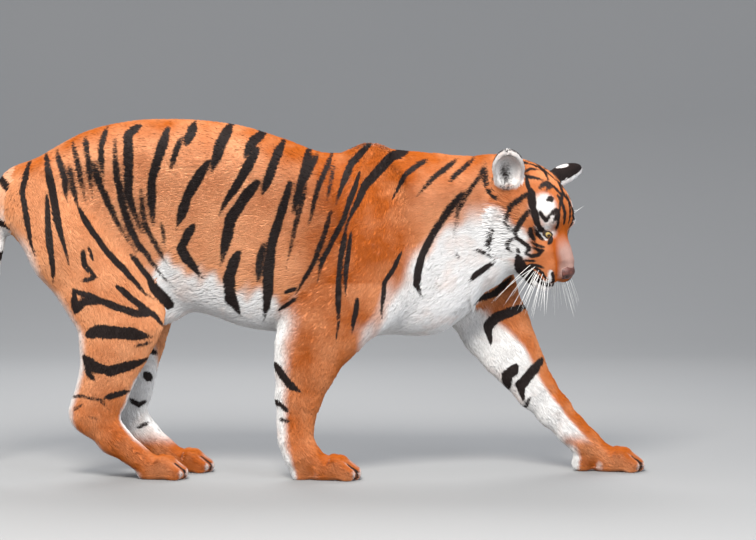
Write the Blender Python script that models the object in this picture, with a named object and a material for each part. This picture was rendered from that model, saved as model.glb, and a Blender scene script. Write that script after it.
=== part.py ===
"""A walking tigress, life size, as the solids of a still museum model.

Metres, +Z up, the head towards +X, the animal's right side towards -Y. The origin lies on the floor, under
the middle of the bounding box. The whole body is first one smooth form: rounded bars and balls stand for the
bones and muscles, out to the tips of the coat, and they melt into each other. Thin cuts then part it into
head, neck, trunk, tail, legs and paws, and each becomes an object of its own.
"""
import math

import bmesh
import bpy
import numpy as np
from mathutils import Matrix, Vector

# -----------------------------------------------------------------------------------------------------------
# Driving sizes, in metres. The body is drawn about a point on the floor below the standing elbow.
# -----------------------------------------------------------------------------------------------------------
MIDDLE_OF_BOX = (-0.1342, 0.0000)  # where the middle of the bounding box lies in the drawing, x and y
CUT = 0.0004                      # the gap that parts two neighbouring pieces
BODY_GRID = 0.0110                # spacing at which the body's surface is found
FINE_GRID = 0.0070                # the same along the head and the paws
EAR_GRID = 0.0045
WELD = 0.0009                     # points of the found surface closer than this become one
BODY_TRIANGLES = 4400             # what the whole body is thinned to, before it is parted
EAR_TRIANGLES = 260

HEAD_AT = Vector((0.592, -0.046, 0.663))
HEAD_YAW = math.radians(38)       # turned to the animal's right
HEAD_PITCH = math.radians(42)     # nose down

EYE_RADIUS = 0.0175
EYE_PLACE = (0.071, 0.031, 0.018)  # forward, aside and up in the head's own frame


# -----------------------------------------------------------------------------------------------------------
# Forms. Each answers, for points p, about how far they lie from its surface, with minus inside.
# -----------------------------------------------------------------------------------------------------------
class Bar:
    """A tapered bar with round ends and an oval section: deep across its run, wide along side."""

    def __init__(self, a, b, size_a, size_b, side=(0, 1, 0), melt=0.03):
        self.a, self.b = np.array(a, float), np.array(b, float)
        self.size_a, self.size_b = size_a, size_b
        self.side = np.array(side, float)
        self.melt = melt
        self.reach = max(*size_a, *size_b)

    def distance(self, p):
        run = self.b - self.a
        t = np.clip((p - self.a) @ run / (run @ run), 0, 1)
        deep = self.size_a[0] + t * (self.size_b[0] - self.size_a[0])
        wide = self.size_a[1] + t * (self.size_b[1] - self.size_a[1])
        out = p - self.a - t[:, None] * run
        aside = out @ self.side
        along = np.sqrt(np.maximum((out**2).sum(1) - aside**2, 0))
        oval = np.sqrt((along / deep) ** 2 + (aside / wide) ** 2) + 1e-9
        radial = np.sqrt(along**2 + aside**2)
        return np.where(radial > 1e-6, radial * (1 - 1 / oval), -np.minimum(deep, wide))

    def box(self):
        return np.minimum(self.a, self.b) - self.reach, np.maximum(self.a, self.b) + self.reach


class Ball:
    """An ellipsoid with its three half sizes along the columns of turn."""

    def __init__(self, centre, radii, turn=None, melt=0.03):
        self.centre, self.radii = np.array(centre, float), np.array(radii, float)
        self.turn = np.eye(3) if turn is None else np.array(turn, float)
        self.melt = melt

    def distance(self, p):
        q = (p - self.centre) @ self.turn
        near = np.sqrt(((q / self.radii) ** 2).sum(1)) + 1e-9
        steep = np.sqrt(((q / self.radii**2) ** 2).sum(1)) + 1e-9
        return near * (near - 1) / steep

    def box(self):
        return self.centre - self.radii.max(), self.centre + self.radii.max()


class Barrel:
    """The trunk: oval sections along x, given by stations of (x, top, bottom, half width)."""

    SQUARE = 2.25  # 2 is an ellipse, more is boxier
    NARROW_ABOVE = 0.12

    def __init__(self, stations, melt=0.03):
        self.x, self.top, self.bottom, self.wide = np.array(stations, float).T
        self.melt = melt

    def distance(self, p):
        x = np.clip(p[:, 0], self.x[0], self.x[-1])
        top, bottom, wide = (smooth_between(self.x, v, x) for v in (self.top, self.bottom, self.wide))
        half = (top - bottom) / 2
        up = p[:, 2] - (top + bottom) / 2
        wide = wide * (1 - self.NARROW_ABOVE * np.clip(up / half, -1, 1))
        oval = (np.abs(p[:, 1] / wide) ** self.SQUARE + np.abs(up / half) ** self.SQUARE) ** (1 / self.SQUARE)
        radial = np.hypot(p[:, 1], up)
        skin = np.where(oval > 0.05, radial * (1 - 1 / np.maximum(oval, 0.05)), -np.minimum(wide, half))
        return np.where(x == p[:, 0], skin, np.hypot(p[:, 0] - x, np.maximum(skin, 0)))

    def box(self):
        return (
            np.array([self.x[0], -self.wide.max(), self.bottom.min()]),
            np.array([self.x[-1], self.wide.max(), self.top.max()]),
        )


def smooth_between(at, values, x):
    """A smooth curve through (at, values), read at x: Hermite pieces with the neighbours' slopes."""
    slope = np.gradient(values, at)
    i = np.clip(np.searchsorted(at, x) - 1, 0, len(at) - 2)
    step = at[i + 1] - at[i]
    t = (x - at[i]) / step
    return (
        values[i] * (1 + 2 * t) * (1 - t) ** 2
        + slope[i] * step * t * (1 - t) ** 2
        + values[i + 1] * t**2 * (3 - 2 * t)
        - slope[i + 1] * step * t**2 * (1 - t)
    )


def melted(a, b, width):
    """The nearer of two forms, rounded over where they meet."""
    h = np.maximum(width - np.abs(a - b), 0) / width
    return np.minimum(a, b) - h * h * width / 4


class Part:
    """Forms that melt into each other first, and then into the body."""

    def __init__(self, name, melt):
        self.name, self.melt, self.forms, self.hollows = name, melt, [], []

    def add(self, *forms):
        self.forms += forms

    def hollow(self, *forms):
        self.hollows += forms

    def chain(self, joints, melt=0.02):
        """Bars from joint to joint, each joint (x, y, z, half depth, half width)."""
        for a, b in zip(joints, joints[1:]):
            self.add(Bar(a[:3], b[:3], a[3:], b[3:], melt=melt))

    def distance(self, p):
        found = np.full(len(p), 1.0)
        for form in self.forms:
            found = melted(found, form.distance(p), form.melt)
        for form in self.hollows:
            found = -melted(-found, form.distance(p), form.melt)
        return found

    def box(self):
        boxes = [form.box() for form in self.forms]
        return np.min([b[0] for b in boxes], 0), np.max([b[1] for b in boxes], 0)


# -----------------------------------------------------------------------------------------------------------
# Trunk, neck and tail
# -----------------------------------------------------------------------------------------------------------
def trunk():
    part = Part("trunk", 0.03)
    part.add(
        Barrel(
            [  # x, top, bottom, half width: rump, croup, loin, belly, ribs, withers, brisket
                (-0.768, 0.722, 0.655, 0.036),
                (-0.725, 0.776, 0.610, 0.077),
                (-0.650, 0.822, 0.540, 0.109),
                (-0.550, 0.876, 0.455, 0.126),
                (-0.430, 0.905, 0.440, 0.130),
                (-0.320, 0.910, 0.432, 0.135),
                (-0.230, 0.905, 0.410, 0.144),
                (-0.140, 0.891, 0.380, 0.151),
                (-0.040, 0.860, 0.366, 0.153),
                (0.060, 0.826, 0.358, 0.148),
                (0.160, 0.828, 0.352, 0.141),
                (0.260, 0.825, 0.370, 0.131),
                (0.360, 0.805, 0.388, 0.113),
                (0.440, 0.770, 0.430, 0.086),
            ]
        ),
        Ball((-0.410, 0, 0.425), (0.110, 0.070, 0.050), melt=0.06),  # the folds of skin from belly to thigh
    )
    return part


def neck():
    part = Part("neck", 0.05)
    part.chain(
        [
            (0.250, 0.000, 0.640, 0.172, 0.125),
            (0.350, 0.000, 0.648, 0.152, 0.120),
            (0.430, 0.000, 0.667, 0.140, 0.104),
            (0.505, 0.004, 0.700, 0.118, 0.086),
        ],
        melt=0.04,
    )
    part.add(
        Bar((0.330, 0.000, 0.500), (0.470, -0.020, 0.570), (0.105, 0.105), (0.085, 0.085), melt=0.06),
        Ball((0.300, 0.000, 0.465), (0.110, 0.095, 0.095), melt=0.05),
    )
    return part


def tail():
    """The tail hangs close behind the thighs, and its end sweeps back and up."""
    part = Part("tail", 0.035)
    x, z, radius = np.array(
        [
            (-0.712, 0.735, 0.052),
            (-0.770, 0.672, 0.045),
            (-0.797, 0.580, 0.039),
            (-0.812, 0.465, 0.035),
            (-0.848, 0.350, 0.032),
            (-0.910, 0.250, 0.031),
            (-0.990, 0.195, 0.030),
            (-1.075, 0.200, 0.029),
            (-1.130, 0.255, 0.025),
        ]
    ).T
    knots = np.arange(len(x), dtype=float)
    fine = np.linspace(0, knots[-1], 3 * len(x))
    run = [smooth_between(knots, v, fine) for v in (x, z, radius)]
    part.chain([(a, 0.0, b, r, r) for a, b, r in zip(*run)], melt=0.01)
    return part


# -----------------------------------------------------------------------------------------------------------
# Legs. aside is -1 for the right legs and 1 for the left ones.
# -----------------------------------------------------------------------------------------------------------
TOE_SPREAD = (-1.0, -0.34, 0.34, 1.0)  # the toes' places across the paw, as shares of its half width


def add_paw(part, ball, half_width, length, height):
    """Four toes and the pads, from the ball of the foot at ball = (x, y) on the floor, pointing to +X."""
    x, y = ball
    for spread in TOE_SPREAD:
        reach = length * (1 - 0.22 * spread**2)
        knuckle = (x + reach - 0.048, y + 0.82 * spread * half_width, height * 0.60)
        tip = (x + reach - 0.017, y + spread * half_width, height * 0.26)
        part.add(Bar(knuckle, tip, (height * 0.40, 0.020), (height * 0.34, 0.0185), melt=0.008))
    part.add(
        Ball((x - 0.004, y, 0.017), (0.044, half_width, 0.024), melt=0.02),
        Ball((x + 0.004, y, height * 0.54), (0.040, half_width * 0.98, height * 0.40), melt=0.02),
    )


def hind_leg(name, joints, ball):
    part = Part(name, 0.04)
    part.chain(joints, melt=0.02)
    add_paw(part, ball, 0.036, 0.078, 0.058)
    return part


def right_hindleg():
    return hind_leg(
        "hindleg_right",
        [
            (-0.640, -0.055, 0.690, 0.098, 0.068),
            (-0.568, -0.075, 0.600, 0.122, 0.072),
            (-0.482, -0.086, 0.490, 0.122, 0.067),
            (-0.454, -0.092, 0.402, 0.107, 0.058),
            (-0.467, -0.092, 0.335, 0.085, 0.048),
            (-0.484, -0.089, 0.268, 0.068, 0.041),
            (-0.501, -0.086, 0.215, 0.063, 0.037),
            (-0.521, -0.084, 0.170, 0.058, 0.034),
            (-0.474, -0.083, 0.105, 0.038, 0.033),
            (-0.388, -0.083, 0.038, 0.030, 0.039),
        ],
        (-0.362, -0.084),
    )


def left_hindleg():
    """Set further forward, with the paw flat a little ahead of the other."""
    return hind_leg(
        "hindleg_left",
        [
            (-0.640, 0.055, 0.690, 0.098, 0.068),
            (-0.565, 0.075, 0.600, 0.122, 0.072),
            (-0.470, 0.086, 0.490, 0.122, 0.067),
            (-0.440, 0.092, 0.402, 0.105, 0.058),
            (-0.440, 0.092, 0.335, 0.085, 0.048),
            (-0.443, 0.089, 0.268, 0.068, 0.041),
            (-0.449, 0.086, 0.215, 0.063, 0.037),
            (-0.463, 0.084, 0.170, 0.058, 0.034),
            (-0.413, 0.083, 0.105, 0.038, 0.033),
            (-0.330, 0.083, 0.038, 0.030, 0.039),
        ],
        (-0.304, 0.084),
    )


def standing_foreleg():
    part = Part("foreleg_right", 0.045)
    part.chain(
        [
            (0.178, -0.046, 0.795, 0.054, 0.032),
            (0.195, -0.087, 0.690, 0.100, 0.048),
            (0.210, -0.109, 0.570, 0.118, 0.055),
            (0.135, -0.114, 0.470, 0.115, 0.058),
            (0.062, -0.112, 0.390, 0.104, 0.055),
            (0.030, -0.110, 0.335, 0.088, 0.049),
            (0.016, -0.108, 0.285, 0.075, 0.048),
            (-0.001, -0.103, 0.212, 0.057, 0.042),
            (-0.009, -0.099, 0.150, 0.045, 0.038),
            (-0.010, -0.098, 0.105, 0.041, 0.038),
            (0.004, -0.097, 0.066, 0.041, 0.043),
            (0.052, -0.097, 0.034, 0.030, 0.046),
        ]
    )
    part.add(Ball((0.004, -0.097, 0.020), (0.026, 0.032, 0.030), melt=0.02))
    add_paw(part, (0.072, -0.097), 0.043, 0.082, 0.060)
    return part


def reaching_foreleg():
    part = Part("foreleg_left", 0.045)
    part.chain(
        [
            (0.172, 0.046, 0.791, 0.054, 0.032),
            (0.260, 0.087, 0.690, 0.100, 0.048),
            (0.375, 0.106, 0.580, 0.110, 0.055),
            (0.448, 0.114, 0.470, 0.104, 0.058),
            (0.502, 0.112, 0.372, 0.088, 0.052),
            (0.538, 0.110, 0.312, 0.074, 0.050),
            (0.568, 0.109, 0.268, 0.061, 0.046),
            (0.604, 0.108, 0.214, 0.051, 0.042),
            (0.652, 0.106, 0.158, 0.043, 0.039),
            (0.696, 0.104, 0.110, 0.037, 0.038),
            (0.730, 0.103, 0.076, 0.036, 0.042),
            (0.783, 0.103, 0.038, 0.031, 0.046),
        ]
    )
    part.add(Ball((0.728, 0.103, 0.022), (0.028, 0.033, 0.026), melt=0.02))
    add_paw(part, (0.803, 0.103), 0.043, 0.082, 0.060)
    return part


# -----------------------------------------------------------------------------------------------------------
# Head, in its own frame: x towards the nose, y to the animal's left, z towards the crown
# -----------------------------------------------------------------------------------------------------------
HEAD_TURN = Matrix.Rotation(-HEAD_YAW, 3, "Z") @ Matrix.Rotation(HEAD_PITCH, 3, "Y")


def on_head(point):
    return HEAD_AT + HEAD_TURN @ Vector(point)


def head_ball(centre, radii, melt=0.03):
    return Ball(on_head(centre), radii, HEAD_TURN, melt)


def head_bar(a, b, size_a, size_b, melt=0.03):
    return Bar(on_head(a), on_head(b), size_a, size_b, HEAD_TURN @ Vector((0, 1, 0)), melt)


def head():
    part = Part("head", 0.030)
    part.add(
        head_ball((-0.035, 0, 0.024), (0.110, 0.088, 0.088)),  # cranium
        head_ball((0.026, 0, 0.042), (0.062, 0.062, 0.056)),  # forehead
        head_bar((0.048, 0, 0.012), (0.146, 0, -0.020), (0.037, 0.041), (0.023, 0.027)),  # bridge of the nose
        head_ball((0.092, 0, -0.034), (0.064, 0.051, 0.044)),  # upper jaw
        # lower jaw
        head_bar((-0.010, 0, -0.098), (0.106, 0, -0.100), (0.053, 0.060), (0.031, 0.035), melt=0.025),
        head_ball((0.132, 0, -0.096), (0.027, 0.029, 0.024), melt=0.015),  # chin
        head_ball((-0.070, 0, -0.058), (0.075, 0.080, 0.068), melt=0.04),  # throat
        head_ball((0.168, 0, -0.032), (0.016, 0.026, 0.019), melt=0.010),  # tip of the nose
    )
    for aside in (-1, 1):
        part.add(
            head_ball((0.000, aside * 0.056, -0.020), (0.086, 0.044, 0.066)),  # cheekbone
            head_ball((0.053, aside * 0.046, -0.062), (0.062, 0.034, 0.054)),  # cheek, down to the mouth
            head_ball((-0.022, aside * 0.080, -0.050), (0.058, 0.036, 0.084), melt=0.018),  # ruff
            head_ball((0.134, aside * 0.026, -0.053), (0.041, 0.031, 0.032), melt=0.014),  # whisker pad
            head_ball((0.048, aside * 0.040, 0.048), (0.032, 0.022, 0.016), melt=0.02),  # brow
        )
        part.hollow(head_ball((0.101, aside * 0.058, 0.014), (0.026, 0.020, 0.017), melt=0.02))  # eye socket
    return part


def ear(name, aside, base, up, opening):
    """A round cup on the crown: up runs from base to tip, and opening is the way its hollow faces."""
    part = Part(name, 0.018)
    up, opening = Vector(up).normalized(), Vector(opening)
    opening = (opening - opening.dot(up) * up).normalized()
    across = up.cross(opening)
    turn = HEAD_TURN @ Matrix((across, opening, up)).transposed()
    base = Vector((base[0], aside * base[1], base[2]))
    part.add(
        Ball(on_head(base + up * 0.052), (0.041, 0.025, 0.064), turn, melt=0.01),
        Ball(on_head(base + up * 0.006), (0.035, 0.029, 0.028), turn, melt=0.02),
    )
    part.hollow(Ball(on_head(base + up * 0.058 + opening * 0.021), (0.032, 0.027, 0.051), turn, melt=0.006))
    return part


def ears():
    return [
        ear("ear_right", -1, (-0.070, 0.078, 0.050), (-0.22, -0.55, 0.78), (0.62, -0.75, 0.15)),
        ear("ear_left", 1, (-0.060, 0.070, 0.052), (-0.06, 0.86, 0.46), (0.55, 0.25, -0.50)),
    ]


# -----------------------------------------------------------------------------------------------------------
# From forms to a surface
# -----------------------------------------------------------------------------------------------------------
def grid_lines(low, high, step, fine_step, fine_spans):
    """Sampling places along one axis, closer within the fine spans."""
    lines = [low]
    while lines[-1] < high:
        fine = any(a < lines[-1] < b for a, b in fine_spans)
        lines.append(lines[-1] + (fine_step if fine else step))
    return np.array(lines)


def sampled(parts, lines):
    """The joined forms at every crossing of the grid lines, each part read only round itself."""
    values = np.full([len(line) for line in lines], 1.0)
    for part in parts:
        low, high = part.box()
        margin = part.melt + 2 * BODY_GRID
        spans = [
            slice(*np.searchsorted(line, (low[k] - margin, high[k] + margin))) for k, line in enumerate(lines)
        ]
        near = [line[span] for line, span in zip(lines, spans)]
        points = np.stack(np.meshgrid(*near, indexing="ij"), -1).reshape(-1, 3)
        found = part.distance(points).reshape([len(n) for n in near])
        values[tuple(spans)] = melted(values[tuple(spans)], found, part.melt)
    return values


def surface(values, lines):
    """Points and four-sided faces where the field crosses zero: one point in each cell that it passes."""
    inside = values < 0
    cells = np.array(values.shape) - 1
    sums, counts, faces = np.zeros((cells.prod(), 3)), np.zeros(cells.prod()), []
    for axis in range(3):
        u, v = (axis + 1) % 3, (axis + 2) % 3
        low = tuple(slice(0, -1) if k == axis else slice(1, -1) for k in range(3))
        high = tuple(slice(1, None) if k == axis else slice(1, -1) for k in range(3))
        at = np.argwhere(inside[low] != inside[high])
        at[:, [u, v]] += 1
        after = at.copy()
        after[:, axis] += 1
        first, second = values[tuple(at.T)], values[tuple(after.T)]
        place = np.stack([lines[k][at[:, k]] for k in range(3)], 1)
        share = first / (first - second)
        place[:, axis] += share * (lines[axis][after[:, axis]] - place[:, axis])
        ring = []
        for du, dv in ((-1, -1), (0, -1), (0, 0), (-1, 0)):
            cell = at.copy()
            cell[:, u] += du
            cell[:, v] += dv
            ring.append(np.ravel_multi_index(cell.T, cells))
            np.add.at(sums, ring[-1], place)
            np.add.at(counts, ring[-1], 1)
        ring = np.stack(ring, 1)
        faces.append(np.where((first < 0)[:, None], ring, ring[:, ::-1]))
    used = np.flatnonzero(counts)
    number = np.zeros(len(counts), int)
    number[used] = np.arange(len(used))
    return sums[used] / counts[used, None], number[np.concatenate(faces)]


def mesh_of(name, parts, step, fine_step, fine_spans):
    boxes = [part.box() for part in parts]
    low, high = np.min([b[0] for b in boxes], 0) - 0.04, np.max([b[1] for b in boxes], 0) + 0.04
    lines = [grid_lines(low[k], high[k], step, fine_step, fine_spans[k]) for k in range(3)]
    points, faces = surface(sampled(parts, lines), lines)
    mesh = bpy.data.meshes.new(name)
    mesh.from_pydata(points.tolist(), [], faces.tolist())
    form = bmesh.new()
    form.from_mesh(mesh)
    bmesh.ops.remove_doubles(form, verts=form.verts, dist=WELD)
    form.to_mesh(mesh)
    form.free()
    return mesh


def thinned(mesh, triangles):
    """The mesh brought down to a number of triangles, most of them where it bends most."""
    helper = bpy.data.objects.new(mesh.name, mesh)
    bpy.context.scene.collection.objects.link(helper)
    decimate = helper.modifiers.new("thin", "DECIMATE")
    decimate.ratio = triangles / len(mesh.polygons) / 2
    decimate.use_collapse_triangulate = True
    graph = bpy.context.evaluated_depsgraph_get()
    result = bpy.data.meshes.new_from_object(helper.evaluated_get(graph))
    result.name = mesh.name + "_thinned"
    bpy.data.objects.remove(helper)
    bpy.data.meshes.remove(mesh)
    return result


def body_parts():
    return [
        trunk(),
        neck(),
        right_hindleg(),
        left_hindleg(),
        standing_foreleg(),
        reaching_foreleg(),
        tail(),
        head(),
    ]


def whole_body():
    head_low, head_high = head().box()
    fine_spans = (
        [(head_low[0], head_high[0]), (-0.01, 0.16), (-0.40, -0.22)],
        [(-0.16, -0.03), (0.03, 0.16)],
        [(-0.03, 0.07), (head_low[2], head_high[2])],
    )
    return mesh_of("body", body_parts(), BODY_GRID, FINE_GRID, fine_spans)


# -----------------------------------------------------------------------------------------------------------
# Where the body is parted. A gate is a rectangle that a limb passes through, facing the way from the trunk to
# the limb's end, and the piece between two gates is what the body has in the cage that they span.
# -----------------------------------------------------------------------------------------------------------
class Gate:
    def __init__(self, centre, facing, half_length, half_width, across=(0, 1, 0)):
        self.centre = Vector(centre)
        self.facing = Vector(facing).normalized()
        self.across = Vector(across)
        self.along = self.facing.cross(self.across).normalized()
        self.half_length, self.half_width = half_length, half_width

    def corners(self, shift, grow):
        """The four corners in turn, moved along the gate's facing by shift."""
        length, width = self.half_length + grow, self.half_width + grow
        for u, v in ((-1, -1), (1, -1), (1, 1), (-1, 1)):
            yield self.centre + self.facing * shift + self.along * u * length + self.across * v * width


def leg_gates(middle_y, *places):
    """Gates square to the leg's own plane, each (x, z, (facing x, facing z), half length, half width)."""
    return [Gate((x, middle_y, z), (fx, 0, fz), half, wide) for x, z, (fx, fz), half, wide in places]


def head_gate(x, z, half_height, half_width):
    return Gate(on_head((x, 0, z)), on_head((1, 0, 0)) - HEAD_AT, half_height, half_width, HEAD_TURN.col[1])


FLOOR = -CUT / 2
LIMBS = {  # the names of the pieces along a limb, and its gates from the trunk outwards
    ("upper_arm_right", "forearm_right", "forepaw_right"): leg_gates(
        -0.160,
        (0.100, 0.620, (-0.45, -0.89), 0.200, 0.110),
        (0.035, 0.343, (-0.10, -1.00), 0.140, 0.110),
        (-0.005, 0.095, (0.10, -1.00), 0.090, 0.140),
        (0.055, FLOOR, (0.00, -1.00), 0.150, 0.140),
    ),
    ("upper_arm_left", "forearm_left", "forepaw_left"): leg_gates(
        0.160,
        (0.360, 0.560, (0.50, -0.87), 0.140, 0.110),
        (0.512, 0.355, (0.60, -0.80), 0.120, 0.110),
        (0.712, 0.093, (0.60, -0.80), 0.080, 0.140),
        (0.800, FLOOR, (0.00, -1.00), 0.140, 0.140),
    ),
    ("thigh_right", "shank_right", "hind_foot_right", "hindpaw_right"): leg_gates(
        -0.135,
        (-0.530, 0.640, (0.35, -0.94), 0.190, 0.135),
        (-0.460, 0.362, (-0.10, -1.00), 0.140, 0.135),
        (-0.505, 0.168, (0.30, -0.95), 0.100, 0.135),
        (-0.412, 0.060, (0.75, -0.66), 0.060, 0.135),
        (-0.350, FLOOR, (0.00, -1.00), 0.100, 0.135),
    ),
    ("thigh_left", "shank_left", "hind_foot_left", "hindpaw_left"): leg_gates(
        0.135,
        (-0.530, 0.640, (0.35, -0.94), 0.190, 0.135),
        (-0.440, 0.362, (-0.05, -1.00), 0.140, 0.135),
        (-0.447, 0.168, (0.30, -0.95), 0.100, 0.135),
        (-0.354, 0.060, (0.75, -0.66), 0.060, 0.135),
        (-0.292, FLOOR, (0.00, -1.00), 0.100, 0.135),
    ),
    ("tail_base", "tail_middle", "tail_tip"): leg_gates(
        0.0,
        (-0.785, 0.640, (-0.45, -0.90), 0.055, 0.070),
        (-0.840, 0.375, (-0.35, -0.94), 0.090, 0.070),
        (-0.985, 0.195, (-0.98, 0.05), 0.090, 0.070),
        (-1.180, 0.240, (-1.00, 0.00), 0.130, 0.070),
    ),
}
TRUNK_GATES = (
    Gate((-0.900, 0, 0.650), (1, 0, 0), 0.303, 0.260),
    Gate((0.650, 0, 0.650), (1, 0, 0), 0.303, 0.260),
)
BELOW_TRUNK = ("paw", "hind_foot", "tail_tip")  # the pieces that end lower than the trunk's underside
NECK_GATES = (
    Gate((0.360, 0, 0.630), (0.96, 0, 0.29), 0.260, 0.220),
    Gate((0.850, 0, 0.700), (1, 0, 0), 0.340, 0.260),
)
HEAD_GATES = (head_gate(-0.105, 0.030, 0.150, 0.180), head_gate(0.250, -0.010, 0.170, 0.180))
JAW_GATES = (head_gate(0.020, -0.146, 0.050, 0.060), head_gate(0.200, -0.132, 0.050, 0.060))
NOSE_GATES = (head_gate(0.167, -0.027, 0.019, 0.026), head_gate(0.215, -0.027, 0.019, 0.026))


# -----------------------------------------------------------------------------------------------------------
# Objects
# -----------------------------------------------------------------------------------------------------------
def placed(name, mesh):
    result = bpy.data.objects.new(name, mesh)
    result.location = (-MIDDLE_OF_BOX[0], -MIDDLE_OF_BOX[1], 0)
    bpy.context.scene.collection.objects.link(result)
    return result


def piece(name, mesh, coat):
    result = placed(name, mesh)
    result.data.materials.append(None)
    result.material_slots[0].link = "OBJECT"
    result.material_slots[0].material = coat
    return result


def cutter(name, mesh):
    result = placed(name, mesh)
    result.hide_render = True
    result.display_type = "WIRE"
    return result


def cage(name, start, end, grow):
    """The closed box between two gates, pushed out by grow on every side."""
    form = bmesh.new()
    near = [form.verts.new(corner) for corner in start.corners(-grow, grow)]
    far = [form.verts.new(corner) for corner in end.corners(grow, grow)]
    form.faces.new(near)
    form.faces.new(far)
    for k in range(4):
        form.faces.new((near[k - 1], near[k], far[k], far[k - 1]))
    bmesh.ops.recalc_face_normals(form, faces=form.faces)
    mesh = bpy.data.meshes.new(name)
    form.to_mesh(mesh)
    form.free()
    return cutter(name, mesh)


def ball_mesh(name, centre, radius):
    form = bmesh.new()
    bmesh.ops.create_icosphere(form, subdivisions=3, radius=radius, matrix=Matrix.Translation(centre))
    mesh = bpy.data.meshes.new(name)
    form.to_mesh(mesh)
    form.free()
    return mesh


def combine(target, operation, other):
    modifier = target.modifiers.new(f"{operation.lower()} {other.name}", "BOOLEAN")
    modifier.operation = operation
    modifier.object = other
    modifier.solver = "EXACT"


def material(name, color, roughness):
    result = bpy.data.materials.new(name)
    result.use_nodes = True
    shader = result.node_tree.nodes["Principled BSDF"]
    shader.inputs["Base Color"].default_value = (*color, 1)
    shader.inputs["Roughness"].default_value = roughness
    shader.inputs["Metallic"].default_value = 0
    return result


ORANGE, DEEP_ORANGE, PALE_ORANGE = (0.56, 0.23, 0.09), (0.47, 0.16, 0.05), (0.60, 0.33, 0.19)
WHITE, DARK = (0.66, 0.66, 0.64), (0.03, 0.02, 0.02)
COATS = {  # the main colour of each piece, by the first word of its name
    "trunk": ORANGE,
    "neck": ORANGE,
    "head": ORANGE,
    "lower_jaw": WHITE,
    "ear": DARK,
    "upper": DEEP_ORANGE,
    "forearm": DEEP_ORANGE,
    "forepaw": DEEP_ORANGE,
    "thigh": PALE_ORANGE,
    "shank": PALE_ORANGE,
    "hind": PALE_ORANGE,
    "hindpaw": ORANGE,
    "tail": PALE_ORANGE,
}


def coat_of(name):
    color = COATS.get(name) or COATS[name.split("_")[0]]
    return material(f"{name}_coat", color, 0.8)


def part_body():
    body = thinned(whole_body(), BODY_TRIANGLES)
    shrunk, grown = -CUT / 2, CUT / 2

    def between(name, gates, without=()):
        result = piece(name, body, coat_of(name))
        combine(result, "INTERSECT", cage(f"{name}_cage", *gates, shrunk))
        for other in without:
            combine(result, "DIFFERENCE", other)
        return result

    taken = {}
    for names, gates in LIMBS.items():
        for name, start, end in zip(names, gates, gates[1:]):
            taken[name] = cage(f"{name}_room", start, end, grown)
            between(name, (start, end))

    head_room = cage("head_room", *HEAD_GATES, grown)
    jaw_room = cage("lower_jaw_room", *JAW_GATES, grown)
    neck_room = cage("neck_room", *NECK_GATES, grown)
    between("neck", NECK_GATES, [head_room, jaw_room, taken["upper_arm_left"], taken["forearm_left"]])
    beside = [room for name, room in taken.items() if not any(low in name for low in BELOW_TRUNK)]
    between("trunk", TRUNK_GATES, [neck_room, *beside])

    nose_room = cage("nose_room", *NOSE_GATES, grown)
    between("lower_jaw", JAW_GATES)
    head_piece = between("head", HEAD_GATES, [jaw_room, nose_room])
    nose = piece("nose", body, material("nose_skin", (0.30, 0.13, 0.11), 0.5))
    combine(nose, "INTERSECT", cage("nose_cage", *NOSE_GATES, shrunk))

    for side, aside in (("right", -1), ("left", 1)):
        x, y, z = EYE_PLACE
        centre = on_head((x, aside * y, z))
        name = f"eye_{side}"
        piece(name, ball_mesh(name, centre, EYE_RADIUS), material(name, (0.35, 0.22, 0.05), 0.1))
        socket = cutter(f"{name}_socket", ball_mesh("socket", centre, EYE_RADIUS + CUT))
        combine(head_piece, "DIFFERENCE", socket)
    return body


def add_ears(body):
    guard = cutter("ear_seat", body)
    swell = guard.modifiers.new("gap", "DISPLACE")
    swell.strength = CUT
    swell.mid_level = 0
    for part in ears():
        coarse = mesh_of(part.name, [part], EAR_GRID, EAR_GRID, ((), (), ()))
        ear_piece = piece(part.name, thinned(coarse, EAR_TRIANGLES), coat_of(part.name))
        combine(ear_piece, "DIFFERENCE", guard)


if __name__ == "__main__":
    for old in list(bpy.data.objects):
        bpy.data.objects.remove(old)
    add_ears(part_body())
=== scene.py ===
"""A walking tigress as a museum model: skin, coat, eyes, nose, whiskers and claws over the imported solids.

Metres, +Z up, the head towards +X, the animal's right side towards -Y. The same rounded forms that the
solids were cut from are joined here again into one skin, which lies inside them by the depth of the coat.
"""
import math

import bmesh
import bpy
import numpy as np
from mathutils.bvhtree import BVHTree
from mathutils import Matrix, Vector


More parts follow.
